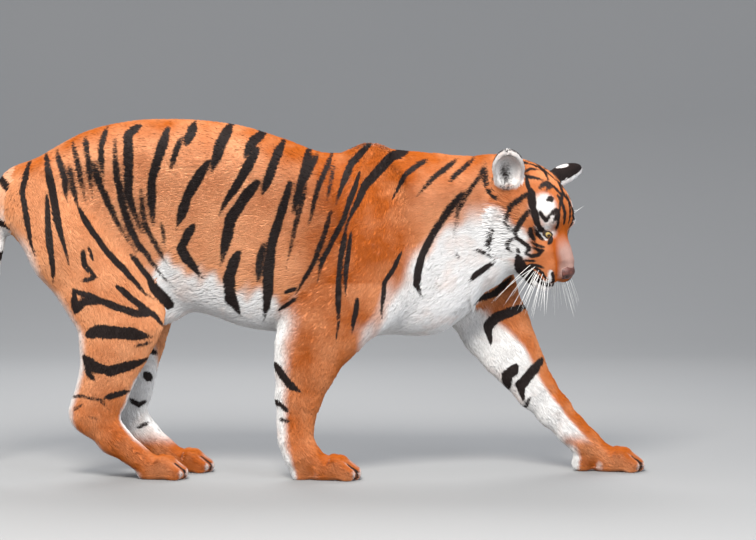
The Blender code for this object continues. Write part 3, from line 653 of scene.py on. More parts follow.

FLANK_STRIPES = [  # from the rump forwards
    (8.5, (-0.55, 0.805), (-0.565, 0.725), (-0.555, 0.665), (-0.53, 0.565)),
    (10, (-0.51, 0.82), (-0.48, 0.71), (-0.47, 0.66), (-0.445, 0.545)),
    (8.5, (-0.5, 0.72), (-0.49, 0.585), (-0.485, 0.49)),
    (7.5, (-0.483, 0.832), (-0.458, 0.76), (-0.445, 0.705)),
    (7, (-0.448, 0.792), (-0.432, 0.741), (-0.415, 0.69)),
    (8, (-0.415, 0.69), (-0.394, 0.644), (-0.35, 0.585), (-0.29, 0.515), (-0.25, 0.48)),
    (7, (-0.443, 0.853), (-0.427, 0.807), (-0.397, 0.7)),
    (7.5, (-0.41, 0.868), (-0.399, 0.817), (-0.384, 0.71)),
    (8, (-0.353, 0.891), (-0.364, 0.843), (-0.354, 0.755)),
    (8.5, (-0.382, 0.802), (-0.369, 0.756), (-0.345, 0.695), (-0.275, 0.575)),
    (8, (-0.33, 0.86), (-0.325, 0.76), (-0.313, 0.7), (-0.27, 0.6), (-0.22, 0.53), (-0.18, 0.475)),
    (7.5, (-0.29, 0.57), (-0.252, 0.522), (-0.215, 0.48)),
    (7, (-0.41, 0.58), (-0.4, 0.543), (-0.369, 0.517)),
    (6, (-0.372, 0.517), (-0.415, 0.505)),
    (5, (-0.394, 0.588), (-0.38, 0.555)),
    (11.5, (-0.27, 0.895), (-0.295, 0.87), (-0.295, 0.72), (-0.26, 0.625)),
    (6.5, (-0.263, 0.735), (-0.25, 0.64), (-0.225, 0.59), (-0.185, 0.53)),
    (12.5, (-0.2, 0.89), (-0.235, 0.76), (-0.23, 0.64)),
    (5, (-0.212, 0.65), (-0.2, 0.58)),
    (12.5, (-0.13, 0.9), (-0.15, 0.845)),
    (8.5, (-0.165, 0.865), (-0.19, 0.775)),
    (12.5, (-0.04, 0.895), (-0.065, 0.845), (-0.085, 0.78)),
    (12.5, (-0.095, 0.805), (-0.15, 0.71), (-0.175, 0.63)),
    (12.5, (-0.13, 0.645), (-0.16, 0.585), (-0.11, 0.51)),
    (12.5, (0.05, 0.88), (0.02, 0.855), (-0.005, 0.815)),
    (12.5, (0.03, 0.835), (0, 0.78), (-0.065, 0.67)),
    (14, (0.03, 0.755), (-0.035, 0.66), (-0.065, 0.54)),
    (11.5, (0.095, 0.855), (0.065, 0.775), (0.04, 0.72)),
    (15.5, (-0.02, 0.575), (-0.04, 0.515), (-0.035, 0.455), (-0.015, 0.41)),
    (8.5, (0.045, 0.6), (0.03, 0.495)),
    (12.5, (0.11, 0.75), (0.07, 0.6), (0.055, 0.495), (0.055, 0.43)),
    (10, (0.16, 0.845), (0.135, 0.735), (0.12, 0.675)),
    (8.5, (0.18, 0.825), (0.14, 0.735)),
    (6, (0.155, 0.745), (0.14, 0.69), (0.125, 0.625), (0.1, 0.53)),
    (7, (0.22, 0.83), (0.185, 0.735), (0.155, 0.63)),
    (4.5, (0.225, 0.8), (0.205, 0.695)),
    (8.5, (0.315, 0.85), (0.265, 0.8), (0.225, 0.695)),
    (7, (0.285, 0.78), (0.25, 0.675), (0.195, 0.56), (0.18, 0.5)),
    (11.5, (0.41, 0.83), (0.365, 0.815), (0.3, 0.75), (0.25, 0.64)),
    (7, (0.25, 0.64), (0.235, 0.505), (0.23, 0.35)),
    (6, (0.265, 0.63), (0.25, 0.465)),
    (6.5, (0.215, 0.68), (0.175, 0.56), (0.125, 0.47)),
    (5.5, (0.125, 0.485), (0.095, 0.47)),
    (5.5, (0.13, 0.46), (0.08, 0.43)),
    (12, (0.064, 0.54), (0.056, 0.48), (0.046, 0.4)),
    (7, (0.28, 0.465), (0.27, 0.37)),
    (6.5, (0.39, 0.575), (0.35, 0.5), (0.345, 0.41)),
    (6.5, (0.46, 0.81), (0.405, 0.77), (0.37, 0.71)),
    (6.5, (0.53, 0.81), (0.475, 0.765), (0.43, 0.715)),
    (6.5, (0.58, 0.815), (0.525, 0.77), (0.51, 0.75)),
    (6.5, (0.605, 0.79), (0.565, 0.73), (0.535, 0.68), (0.535, 0.655), (0.52, 0.6)),
    (10, (0.545, 0.725), (0.485, 0.645), (0.445, 0.565), (0.43, 0.495), (0.445, 0.46)),
]
THROAT_STRIPES = [
    (8, (0.622, 0.545), (0.593, 0.522), (0.565, 0.5)),
    (9, (0.68, 0.5), (0.638, 0.465), (0.603, 0.45), (0.575, 0.44)),
    (7, (0.609, 0.8), (0.607, 0.76), (0.617, 0.728), (0.63, 0.716)),
    (3, (0.597, 0.79), (0.586, 0.755), (0.565, 0.728)),
    (6, (0.575, 0.583), (0.603, 0.576), (0.64, 0.552)),
    (5, (0.527, 0.575), (0.54, 0.55)),
]
THIGH_STRIPES = [  # from the stifle down to the hock, for the outer side of a hind leg
    (10, (-0.43, 0.48), (-0.365, 0.455), (-0.275, 0.425), (-0.235, 0.425), (-0.205, 0.385)),
    (8.5, (-0.43, 0.48), (-0.43, 0.43), (-0.405, 0.45), (-0.365, 0.445)),
    (8.5, (-0.325, 0.495), (-0.26, 0.445), (-0.23, 0.425)),
    (3, (-0.285, 0.505), (-0.225, 0.455)),
    (11.5, (-0.24, 0.505), (-0.195, 0.44), (-0.195, 0.425)),
    (15.5, (-0.4, 0.37), (-0.375, 0.38), (-0.28, 0.37), (-0.235, 0.36)),
    (4.5, (-0.28, 0.34), (-0.235, 0.345)),
    (14, (-0.405, 0.31), (-0.39, 0.29), (-0.345, 0.275), (-0.28, 0.295), (-0.245, 0.31)),
    (7, (-0.405, 0.28), (-0.38, 0.25)),
    (7, (-0.355, 0.21), (-0.285, 0.225)),
    (4.5, (-0.455, 0.205), (-0.415, 0.215), (-0.37, 0.205), (-0.33, 0.17)),
    (4, (-0.44, 0.175), (-0.41, 0.195)),
    (3, (-0.40, 0.16), (-0.36, 0.15)),
]
FOREARM_STRIPES = [
    (10, (0.07, 0.295), (0.105, 0.25), (0.145, 0.225)),
    (7, (0.072, 0.2), (0.115, 0.17)),
    (5, (0.085, 0.155), (0.115, 0.145)),
]
LEFT_FORELEG_BANDS = [
    (12.5, (0.71, 0.43), (0.64, 0.4), (0.615, 0.375), (0.62, 0.33)),
    (14, (0.69, 0.275), (0.665, 0.245), (0.668, 0.21)),
    (13, (0.755, 0.29), (0.715, 0.245), (0.697, 0.22), (0.705, 0.18)),
    (5, (0.725, 0.19), (0.705, 0.15)),
    (5, (0.727, 0.14), (0.735, 0.11)),
]
LEFT_HINDLEG_BANDS = [
    (8, (-0.255, 0.325), (-0.235, 0.3)),
    (11.5, (-0.265, 0.255), (-0.25, 0.235)),
    (8, (-0.305, 0.19), (-0.28, 0.175), (-0.255, 0.19)),
    (6, (-0.285, 0.115), (-0.25, 0.13)),
]
FACE_STRIPES = [  # in the head's frame, the same on both sides
    # from the crown past the temple to the eye, and the two arcs behind it
    (8, (-0.017, 0.07, 0.08), (0.005, 0.073, 0.066), (0.03, 0.077, 0.05)),
    (6, (0.015, 0.076, 0.058), (0.044, 0.074, 0.045), (0.058, 0.068, 0.032),
     (0.07, 0.055, 0.022), (0.082, 0.045, 0.02)),
    (5, (-0.016, 0.076, 0.066), (-0.02, 0.101, 0.024), (-0.006, 0.109, -0.001),
     (0.002, 0.111, -0.018), (0.021, 0.105, -0.024)),
    (5, (0.021, 0.083, 0.042), (0.026, 0.092, 0.018), (0.031, 0.096, 0),
     (0.036, 0.097, -0.019), (0.047, 0.094, -0.029)),
    (3, (0.044, 0.094, -0.028), (0.06, 0.089, -0.026), (0.078, 0.08, -0.024),
     (0.087, 0.076, -0.032), (0.083, 0.079, -0.046)),
    # cheek
    (3, (0.04, 0.096, -0.038), (0.037, 0.097, -0.057), (0.045, 0.091, -0.069), (0.055, 0.085, -0.069)),
    (2.5, (0.064, 0.087, -0.049), (0.072, 0.083, -0.058)),
    (2, (0.107, 0.055, -0.019), (0.107, 0.061, -0.031), (0.098, 0.071, -0.043), (0.083, 0.079, -0.046)),
    (1.5, (0.1, 0.05, -0.009), (0.092, 0.063, -0.013), (0.078, 0.077, -0.011)),
    (1.5, (0.106, 0.053, -0.015), (0.102, 0.06, -0.021), (0.087, 0.074, -0.021)),
    (5, (0.056, 0.082, 0.014), (0.067, 0.079, 0.003), (0.079, 0.07, -0.004)),
    (2.5, (0.059, 0.075, 0.023), (0.069, 0.068, 0.014), (0.077, 0.053, 0.005), (0.085, 0.045, 0)),
    # brow
    (5.5, (0.031, 0.047, 0.088), (0.035, 0.033, 0.095)),
    (3, (0.042, 0.068, 0.059), (0.056, 0.065, 0.054), (0.067, 0.061, 0.052),
     (0.064, 0.055, 0.063), (0.058, 0.045, 0.075)),
    (3, (0.063, 0.029, 0.082), (0.06, 0.038, 0.078), (0.064, 0.055, 0.063)),
    (2.5, (0.066, 0.03, 0.076), (0.078, 0.046, 0.057)),
    # crown and forehead
    (3, (-0.114, 0.008, 0.088), (-0.095, 0.02, 0.098)),
    (3, (-0.07, 0.052, 0.09), (-0.07, 0.032, 0.101), (-0.059, 0.014, 0.108)),
    (3, (-0.057, 0.058, 0.088), (-0.044, 0.049, 0.097), (-0.027, 0.033, 0.105)),
    (3, (-0.09, 0.012, 0.1), (-0.066, 0.003, 0.108), (-0.045, 0.004, 0.111), (-0.02, 0.015, 0.11)),
    (3.5, (-0.009, 0.051, 0.093), (-0.013, 0.034, 0.104), (0.003, 0.026, 0.105), (0.008, 0.043, 0.097)),
    (3, (-0.016, 0.023, 0.108), (0.01, 0.012, 0.108), (0.034, 0.004, 0.103),
     (0.05, 0.019, 0.094), (0.068, 0.028, 0.077)),
    (2.5, (0.068, 0.028, 0.077), (0.078, 0.032, 0.062), (0.09, 0.028, 0.04)),
    (2.5, (0.031, 0.018, 0.102), (0.053, 0.014, 0.093), (0.071, 0.011, 0.082), (0.09, 0.01, 0.055)),
    (3, (-0.058, 0.057, 0.088), (-0.017, 0.072, 0.076)),
    # behind the ear, and the edge of the ruff
    (5, (-0.112, 0.1, 0.023), (-0.079, 0.105, 0.011), (-0.06, 0.104, 0.008)),
    (6.5, (-0.01, 0.125, -0.05), (0.006, 0.127, -0.08), (0.013, 0.129, -0.093),
     (0.031, 0.116, -0.1), (0.052, 0.09, -0.106)),
    # inner corner of the eye, black lip and painted shadow at the corner of the mouth, groove beside the nose
    (3, (0.091, 0.032, 0.016), (0.096, 0.033, 0.007), (0.1, 0.038, -0.001)),
    # these two: the black lower lip, widened with painted shadow under the whisker pad
    (16, (0.078, 0.078, -0.07), (0.093, 0.066, -0.089), (0.098, 0.045, -0.107),
     (0.111, 0.026, -0.12), (0.125, 0.018, -0.121)),
    (8, (0.109, 0.06, -0.074), (0.112, 0.042, -0.094), (0.121, 0.031, -0.108)),
    (2, (0.162, 0.045, -0.041), (0.173, 0.032, -0.06), (0.17, 0.028, -0.076)),
]
MOUTH = [(0.168, 0, -0.086), (0.150, 0.022, -0.090), (0.122, 0.038, -0.094), (0.092, 0.056, -0.101)]
PAD_LINES = [  # the dark lines that the whiskers grow from
    (3, (0.105, 0.065, -0.067), (0.123, 0.057, -0.061), (0.144, 0.055, -0.057), (0.162, 0.047, -0.062)),
    (3, (0.115, 0.053, -0.078), (0.14, 0.05, -0.072), (0.153, 0.036, -0.078)),
    (2.5, (0.118, 0.044, -0.088), (0.138, 0.034, -0.088), (0.151, 0.02, -0.092)),
    (2, (0.107, 0.065, -0.062), (0.123, 0.058, -0.052), (0.139, 0.056, -0.045)),
    (1.5, (0.094, 0.073, -0.061), (0.11, 0.063, -0.047)),
]
LIP_LINES = [(5, *MOUTH), (3, (0.174, 0, -0.055), (0.174, 0, -0.07), (0.168, 0, -0.086), (0.168, 0, -0.09))]
WHITE_LINES = [  # under the eye, and beside the nose
    (2.5, (0.063, 0.07, 0.025), (0.069, 0.063, 0.016), (0.075, 0.051, 0.01), (0.087, 0.04, 0.005)),
    (3, (0.158, 0.049, -0.04), (0.168, 0.04, -0.063), (0.16, 0.036, -0.078)),
]
FACE_WHITES = [  # centre and reach in the head's frame, the same on both sides
    ((0.038, 0.062, 0.072), 0.036),
    ((0.062, 0.052, 0.058), 0.026),
    ((0.075, 0.052, 0.038), 0.016),
    ((0.088, 0.033, 0.028), 0.010),
    ((0.044, 0.093, -0.011), 0.017),
    ((0.062, 0.087, -0.013), 0.015),
    ((0.036, 0.100, -0.056), 0.052),
    ((0.070, 0.085, -0.044), 0.030),
    ((-0.020, 0.118, -0.065), 0.070),
    ((0.118, 0.044, -0.092), 0.020),
    ((0.150, 0.026, -0.092), 0.024),
    ((0.030, 0.000, -0.150), 0.110),
    ((0.135, 0.000, -0.112), 0.045),
]
WHITE_ALONG_BELLY = (  # x along the body, and the height that the white of the belly reaches there
    [-0.30, -0.20, -0.04, 0.04, 0.16, 0.28],
    [0.52, 0.565, 0.505, 0.48, 0.45, 0.40],
)
WHITE_UP_CHEST = (  # height, and the x from which the chest and throat are white there
    [0.38, 0.46, 0.53, 0.61, 0.66],
    [0.30, 0.355, 0.395, 0.46, 0.53],
)
DEEP_ALONG = (  # x along the body, and how deep the orange is there
    [-0.55, -0.25, 0.0, 0.15, 0.24, 0.32, 0.40, 0.46, 0.55],
    [0.35, 0.3, 0.2, 0.55, 1.0, 1.0, 0.8, 0.4, 0.35],
)
STRIPE_WOBBLE = 0.0022  # how far the stripes wander from their paths on the body, the tail and the face
TAIL_WOBBLE = 0.0020
FACE_WOBBLE = 0.0012
LEFT_SHIFT = 0.045      # how far the left flank's stripes are moved from the right's
ELBOW_HEIGHT = 0.56     # the left foreleg has bands of its own below this
STIFLE_HEIGHT = 0.50    # and the left hind leg below this
DEEP_ON_BACK = 0.5      # how much deeper the orange is where the body faces up
DEEP_ON_FORELEG = 0.75
LEG_TOP = (0.66, 0.56)  # the legs' own white fades into the body's between these heights
FORELEGS = ("foreleg_left", "foreleg_right")
HIND_LEGS = ("hindleg_left", "hindleg_right")
PAW_BELOW = 0.12        # a leg is coloured as a paw below this height
# how fast the waves that move points about run along x, y and z
WAVES = np.array([[31.0, -47.0, 23.0], [17.0, 37.0, -13.0], [-29.0, 11.0, 41.0]])


def smoothly(low, high, value):
    """0 below low, 1 above high, and a soft step between."""
    t = np.clip((value - low) / (high - low), 0, 1)
    return t * t * (3 - 2 * t)


def wobbled(points, size):
    """Points moved about in long and short waves, so that ruled outlines look grown."""
    return points + size * (np.sin(points @ WAVES) + 0.45 * np.sin(points @ WAVES.T * 2.7 + 1.3))


def inside_marks(points, marks, slack=0.0):
    """How deep each point lies inside the nearest mark, in metres, or minus how far it lies outside."""
    deepest = np.full(len(points), -MARK_REACH)
    for half_width, *path in marks:
        path = np.array(path, float)
        near = ((points > path.min(0) - MARK_REACH) & (points < path.max(0) + MARK_REACH)).all(1)
        near = np.flatnonzero(near)
        spans = len(path) - 1
        for k in range(spans):
            run = path[k + 1] - path[k]
            off = points[near] - path[k]
            t = np.clip(off @ run / (run @ run), 0, 1)
            along = (k + t) / spans
            start, end = np.minimum(1, 0.55 + 3 * along), np.minimum(1, 0.2 + 2.4 * (1 - along))
            wide = half_width / 1000 * start * end
            gap = np.maximum(np.linalg.norm(off - t[:, None] * run, axis=1) - slack, 0)
            deepest[near] = np.maximum(deepest[near], wide - gap)
    return deepest


def is_part(number, *names):
    """Which of the part numbers are those of the named parts."""
    return np.isin(number, [PART_NUMBER[name] for name in names])


def toe_gap_shade(points):
    """How deep points lie in the painted shade of the clefts between the toes of their paw."""
    deepest = np.full(len(points), -MARK_REACH)
    for tip, beside in zip(toe_tips, toe_tips[1:]):
        if abs(beside[0] - tip[0]) > 0.03:
            continue
        middle = (Vector(tip) + Vector(beside)) / 2 + SHIFT
        near = (np.abs(points[:, 0] - middle.x) < 0.035) & (points[:, 2] < 0.045)
        cleft = TOE_CLEFT_SHADE - np.abs(points[:, 1] - middle.y) - 0.06 * np.maximum(middle.x - points[:, 0], 0)
        deepest[near] = np.maximum(deepest[near], cleft[near])
    return deepest


def body_stripes(points, outward, number):
    """Stripes of trunk, neck and legs. The left flank has the right's, moved about in long waves."""
    x, y, z = points.T
    side = wobbled(points, STRIPE_WOBBLE)[:, [0, 2]]
    flank = side.copy()
    flank[:, 0] += smoothly(0.0, 0.05, y) * LEFT_SHIFT * np.sin(9 * z + 4 * x)
    stripe = np.maximum(inside_marks(flank, FLANK_STRIPES), inside_marks(side, THROAT_STRIPES))
    right = y < 0
    stripe[right] = np.maximum(stripe[right], inside_marks(side[right], THIGH_STRIPES + FOREARM_STRIPES))

    left = is_part(number, "foreleg_left")
    stripe[left & (z < ELBOW_HEIGHT)] = -MARK_REACH
    stripe[left] = np.maximum(stripe[left], inside_marks(side[left], LEFT_FORELEG_BANDS + THROAT_STRIPES))

    left = is_part(number, "hindleg_left")
    ahead = side[left] - np.array([0.05, 0.0]) * smoothly(0.55, 0.35, z[left])[:, None]
    outer = np.where(outward[left, 1] > 0, inside_marks(ahead, THIGH_STRIPES), -MARK_REACH)
    outer = np.maximum(outer, inside_marks(side[left], LEFT_HINDLEG_BANDS))
    stripe[left] = np.where(z[left] < STIFLE_HEIGHT, outer, np.maximum(outer, stripe[left]))

    paw = is_part(number, *FORELEGS, *HIND_LEGS) & (z < PAW_BELOW)
    # painted shade in the clefts between the toes, drawn dark like a stripe
    stripe[paw] = np.maximum(stripe[paw], toe_gap_shade(points[paw]))
    return stripe


def leg_white(outward, number, inner, rear, z):
    """White down the inner and rear sides of the legs, each leg in its own way."""
    white = np.maximum(smoothly(0.0, 0.55, inner), smoothly(0.25, 0.75, rear) * smoothly(0.50, 0.42, z))
    left_foreleg = is_part(number, "foreleg_left")
    ahead = outward @ np.array([0.75, 0, 0.66]) + 0.45 * smoothly(0.30, 0.42, z)
    white[left_foreleg] = smoothly(-0.15, 0.45, inner - 2.0 * ahead)[left_foreleg]
    hind = is_part(number, *HIND_LEGS)
    shank = smoothly(0.34, 0.24, z)
    ahead = np.maximum(outward[:, 0], 0)
    along_shank = smoothly(-0.1, 0.5, inner + 0.55 * shank - 1.5 * (1 - shank) * ahead)
    white[hind] = np.maximum(along_shank, 0.75 * smoothly(0.55, 0.9, rear))[hind]
    return white


def body_white(points, outward, number):
    """White under the belly, on the chest, inside the legs and on the tips of the toes."""
    x, y, z = points.T
    ragged = 0.012 * np.sin(60 * x + 25 * z) + 0.008 * np.sin(140 * x - 60 * z)
    belly = smoothly(-0.01, 0.04, np.interp(x, *WHITE_ALONG_BELLY) - z + ragged)
    chest = smoothly(-0.03, 0.05, x - np.interp(z, *WHITE_UP_CHEST) + ragged) * smoothly(0.72, 0.62, z)
    white = np.maximum(belly, chest)

    legs = is_part(number, *FORELEGS, *HIND_LEGS)
    inner, rear = -np.sign(y) * outward[:, 1], -outward[:, 0]
    low = smoothly(*LEG_TOP, z)
    white[legs] = (leg_white(outward, number, inner, rear, z) * low + white * (1 - low))[legs]
    right_foreleg = is_part(number, "foreleg_right")
    white[right_foreleg] = np.maximum(white, chest)[right_foreleg]

    paw = legs & (z < PAW_BELOW)
    orange = smoothly(0.115, 0.065, z) * smoothly(0.8, 0.4, rear)
    toes = 0.65 * smoothly(0.5, 0.9, outward[:, 0]) * smoothly(0.06, 0.04, z)
    white[paw] = np.maximum(white * (1 - orange), toes)[paw]
    return white


def body_depth(points, outward, number):
    """How deep the orange is: deepest on the shoulders, along the back and down the legs."""
    z = points[:, 2]
    deep = np.interp(points[:, 0], *DEEP_ALONG)
    hind = is_part(number, *HIND_LEGS)
    deep[hind] = 0.4 + 0.45 * smoothly(0.3, 0.08, z[hind])
    deep[is_part(number, *FORELEGS) & (z < 0.5)] = DEEP_ON_FORELEG
    return np.minimum(deep + DEEP_ON_BACK * smoothly(0.3, 0.9, outward[:, 2]), 1)


TAIL_RING = 0.088        # from one ring of the tail to the next
TAIL_TIP = 0.10          # length of the black tip
RING_HALF_WIDTH = 0.010  # at the root of the tail, and how much wider the last ring is
RING_WIDENING = 0.012


def tail_marks(points, outward):
    """Black rings along the tail, which pales to white on its underside, and a black tip."""
    path = np.stack([tail_x + SHIFT.x, tail_z], 1)
    lengths = np.concatenate([[0], np.cumsum(np.linalg.norm(np.diff(path, axis=0), axis=1))])
    side = wobbled(points, TAIL_WOBBLE)[:, [0, 2]]
    nearest, run_at = np.full(len(points), 1.0), np.zeros(len(points))
    for k, (a, b) in enumerate(zip(path, path[1:])):
        run = b - a
        t = np.clip((side - a) @ run / (run @ run), 0, 1)
        gap = np.linalg.norm(side - a - t[:, None] * run, axis=1)
        better = gap < nearest
        nearest[better] = gap[better]
        run_at[better] = lengths[k] + t[better] * (lengths[k + 1] - lengths[k])
    half_width = RING_HALF_WIDTH + RING_WIDENING * run_at / lengths[-1]
    ring = half_width - np.abs((run_at + 0.3 * TAIL_RING) % TAIL_RING - TAIL_RING / 2)
    stripe = np.maximum(ring, run_at - (lengths[-1] - TAIL_TIP))
    under = np.maximum(outward[:, 0] * (run_at < 0.45), -outward[:, 2])
    return stripe, 0.9 * smoothly(-0.2, 0.5, under) + 0.1, np.full(len(points), 0.3)


def head_marks(points):
    """Stripes, white and depth of orange on the face, crown and jaw."""
    local = head_frame(wobbled(points, FACE_WOBBLE))
    local[:, 1] = np.abs(local[:, 1])
    stripe = inside_marks(local, FACE_STRIPES, slack=0.003)
    stripe = np.maximum(stripe, inside_marks(local, LIP_LINES + PAD_LINES, slack=0.002))
    white = np.zeros(len(points))
    for centre, reach in FACE_WHITES:
        gap = np.linalg.norm(local - np.array(centre), axis=1)
        white = np.maximum(white, smoothly(reach + 0.008, reach - 0.014, gap))
    white = np.maximum(white, smoothly(-0.0015, 0.0005, inside_marks(local, WHITE_LINES, slack=0.003)))
    x, y, z = local.T
    # the bridge of the nose: its duller hair with a painted sheen of light from behind, given as a depth of
    # orange past 1
    bridge = smoothly(0.08, 0.14, x) * smoothly(0.044, 0.022, y) * smoothly(-0.065, -0.03, z)
    return stripe, white * (1 - bridge), 0.75 + 1.25 * bridge


HOLLOW_SHADE = 0.12       # how softly the painted shade darkens the white in an ear towards its hollow


def ear_marks(points, outward, ear):
    """White inside, with painted shade darkening its hollow; black behind with one white spot."""
    off = (points - np.array(ear.base + SHIFT)) @ np.array(ear.turn)
    inside = smoothly(-0.05, 0.25, outward @ np.array(ear.turn)[:, 1])
    streaked = wobbled(points, 0.004) - points
    # painted shade: a dark patch low in the ear's hollow
    hollow = 0.009 - np.hypot(off[:, 0] + 0.006 + streaked[:, 0], (off[:, 2] - 0.034) * 0.4)
    spot = np.hypot(off[:, 0], (off[:, 2] - 0.066) * 1.1) - 0.018
    stripe = np.where(inside > 0.5, HOLLOW_SHADE * hollow, np.clip(spot, -0.02, 0.02))
    root = smoothly(0.014, 0.004, off[:, 2])
    stripe -= root * np.maximum(stripe, 0)
    white = np.where(inside > 0.5, 0.95, 1.0) - root
    return stripe, white, np.full(len(points), 0.8)


def marks_at(points, outward, number):
    """Centimetres inside a stripe, share of white and depth of orange, as three columns."""
    marks = np.stack([find(points, outward, number) for find in (body_stripes, body_white, body_depth)], 1)
    here = is_part(number, "tail")
    marks[here] = np.stack(tail_marks(points[here], outward[here]), 1)
    for ear in (ear_right, ear_left):
        here = is_part(number, ear.name)
        marks[here] = np.stack(ear_marks(points[here], outward[here], ear), 1)
    here = is_part(number, "head")
    marks[here] = np.stack(head_marks(points[here]), 1)
    return marks * (100, 1, 1)


# -----------------------------------------------------------------------------------------------------------
# What skin and coat are painted with: orange, white and black hair. One group of nodes turns the three marks
# into a colour and frays the edges of the stripes, and every hairy piece takes its colour from it.
# -----------------------------------------------------------------------------------------------------------
BLACK = (0.014, 0.008, 0.007, 1)
DEEP_ORANGE = (0.36, 0.078, 0.005, 1)
PALE_ORANGE = (0.72, 0.345, 0.175, 1)
WHITE = (0.71, 0.70, 0.695, 1)
BRIDGE_DULL_AND_BACKLIT = (0.33, 0.20, 0.17, 1)  # the bridge of the nose, where depth of orange goes past 1: its duller hair with a painted sheen of the light from behind
STRIPE_EDGE = (-0.14, 0.12)    # centimetres inside a stripe at which black starts and is full
FRAY_SCALE = 160.0             # fineness of the fraying and of the clouds of colour, in 1 / metre
CLOUD_SCALE = 14.0
CLOUD_SPREAD = 0.22


def linked(tree, kind, inputs=(), **settings):
    """A node with its settings, and its inputs linked to sockets or set to values."""
    node = tree.nodes.new(kind)
    for name, value in settings.items():
        setattr(node, name, value)
    for key, value in dict(inputs).items():
        if isinstance(value, bpy.types.NodeSocket):
            tree.links.new(value, node.inputs[key])
        else:
            node.inputs[key].default_value = value
    return node


def mixed(tree, factor, a, b):
    """A colour mix of a and b."""
    return linked(tree, "ShaderNodeMix", {0: factor, 6: a, 7: b}, data_type="RGBA").outputs[2]


def maths(tree, operation, *values):
    """The result of one sum on sockets and plain numbers."""
    return linked(tree, "ShaderNodeMath", dict(enumerate(values)), operation=operation).outputs[0]


def ranged(tree, value, low, high, to_low=0.0, to_high=1.0, **settings):
    """A value taken from the range low to high into the range to_low to to_high."""
    numbers = {0: value, 1: low, 2: high, 3: to_low, 4: to_high}
    return linked(tree, "ShaderNodeMapRange", numbers, **settings).outputs[0]


def noise(tree, scale, detail=2.0):
    """Clouds from 0 to 1 through the piece, each about 1 / scale metres across."""
    place = linked(tree, "ShaderNodeTexCoord").outputs["Object"]
    inputs = {"Vector": place, "Scale": scale, "Detail": detail}
    return linked(tree, "ShaderNodeTexNoise", inputs).outputs[0]


def tiger_colours():
    """Marks to a colour: orange between pale and deep, then white over it, then black with frayed edges."""
    tree = bpy.data.node_groups.new("Tiger colours", "ShaderNodeTree")
    tree.interface.new_socket("Marks", in_out="INPUT", socket_type="NodeSocketVector")
    tree.interface.new_socket("Fray", in_out="INPUT", socket_type="NodeSocketFloat")
    tree.interface.new_socket("Color", in_out="OUTPUT", socket_type="NodeSocketColor")
    start, end = linked(tree, "NodeGroupInput"), linked(tree, "NodeGroupOutput")
    stripe, white, deep = linked(tree, "ShaderNodeSeparateXYZ", {0: start.outputs["Marks"]}).outputs
    frayed = maths(tree, "SUBTRACT", noise(tree, FRAY_SCALE, 3.0), 0.5)
    frayed = maths(tree, "MULTIPLY", frayed, start.outputs["Fray"])
    frayed = maths(tree, "ADD", stripe, frayed)
    black = ranged(tree, frayed, *STRIPE_EDGE, interpolation_type="SMOOTHSTEP")
    cloud = ranged(tree, noise(tree, CLOUD_SCALE, 4.0), 0.3, 0.7, -CLOUD_SPREAD, CLOUD_SPREAD)
    deep = maths(tree, "ADD", deep, cloud)
    orange = mixed(tree, deep, PALE_ORANGE, DEEP_ORANGE)
    # past a depth of 1 the orange turns to the bridge's duller hair with its painted sheen of light from
    # behind
    orange = mixed(tree, ranged(tree, deep, 1.1, 1.9), orange, BRIDGE_DULL_AND_BACKLIT)
    ground = mixed(tree, maths(tree, "MULTIPLY_ADD", white, cloud, white), orange, WHITE)
    tree.links.new(mixed(tree, black, ground, BLACK), end.inputs["Color"])
    return tree


TIGER_COLOURS = tiger_colours()


def attribute(tree, name, output="Vector"):
    """A value that the piece's mesh keeps."""
    return linked(tree, "ShaderNodeAttribute", attribute_name=name).outputs[output]


def striped(tree, fray=0.0):
    """The colour that the piece's own marks give it."""
    inputs = {"Marks": attribute(tree, "marks"), "Fray": fray}
    return linked(tree, "ShaderNodeGroup", inputs, node_tree=TIGER_COLOURS).outputs["Color"]


def bumped(tree, height, strength, distance):
    """Normals of a surface roughened by height, up to distance metres deep."""
    inputs = {"Height": height, "Strength": strength, "Distance": distance}
    return linked(tree, "ShaderNodeBump", inputs).outputs[0]


def new_material(name, roughness, **finish):
    """A material, its tree and its shader, with the finish on the shader's own sockets."""
    material = bpy.data.materials.new(name)
    material.use_nodes = True
    shader = material.node_tree.nodes["Principled BSDF"]
    shader.inputs["Roughness"].default_value = roughness
    for socket, value in finish.items():
        shader.inputs[socket].default_value = value
    return material, material.node_tree, shader.inputs


def skin_material():
    """Hairless skin and the flat underfur, which the locks mostly hide."""
    finish = {"Specular IOR Level": 0.2, "Sheen Weight": 0.2}
    material, tree, surface = new_material("short underfur", 0.85, **finish)
    tree.links.new(striped(tree, fray=0.5), surface["Base Color"])
    tree.links.new(bumped(tree, noise(tree, 700.0, 3.0), 0.5, 0.001), surface["Normal"])
    return material


def added(name, data):
    """A new object of the scene."""
    new_object = bpy.data.objects.new(name, data)
    bpy.context.scene.collection.objects.link(new_object)
    return new_object


def painted_piece(name, mesh, material):
    """A new object whose mesh has the material."""
    mesh.materials.append(material)
    return added(name, mesh)


def set_attribute(mesh, name, kind, values):
    """Values kept on the mesh, one for each point, for its material to read."""
    layer = mesh.attributes.new(name, kind, "POINT")
    member = "vector" if kind == "FLOAT_VECTOR" else "value"
    layer.data.foreach_set(member, values.astype(np.float32).ravel())


FLESH = [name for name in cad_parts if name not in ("eye_right", "eye_left", "nose")]

skin_mesh.vertices.foreach_set("co", skin_points.astype(np.float32).ravel())
skin_mesh.update()
skin_mesh.shade_smooth()
set_attribute(skin_mesh, "marks", "FLOAT_VECTOR", marks_at(outline, outward, part_number))
skin = painted_piece("skin", skin_mesh, skin_material())
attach(skin, "root")
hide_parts(*FLESH)


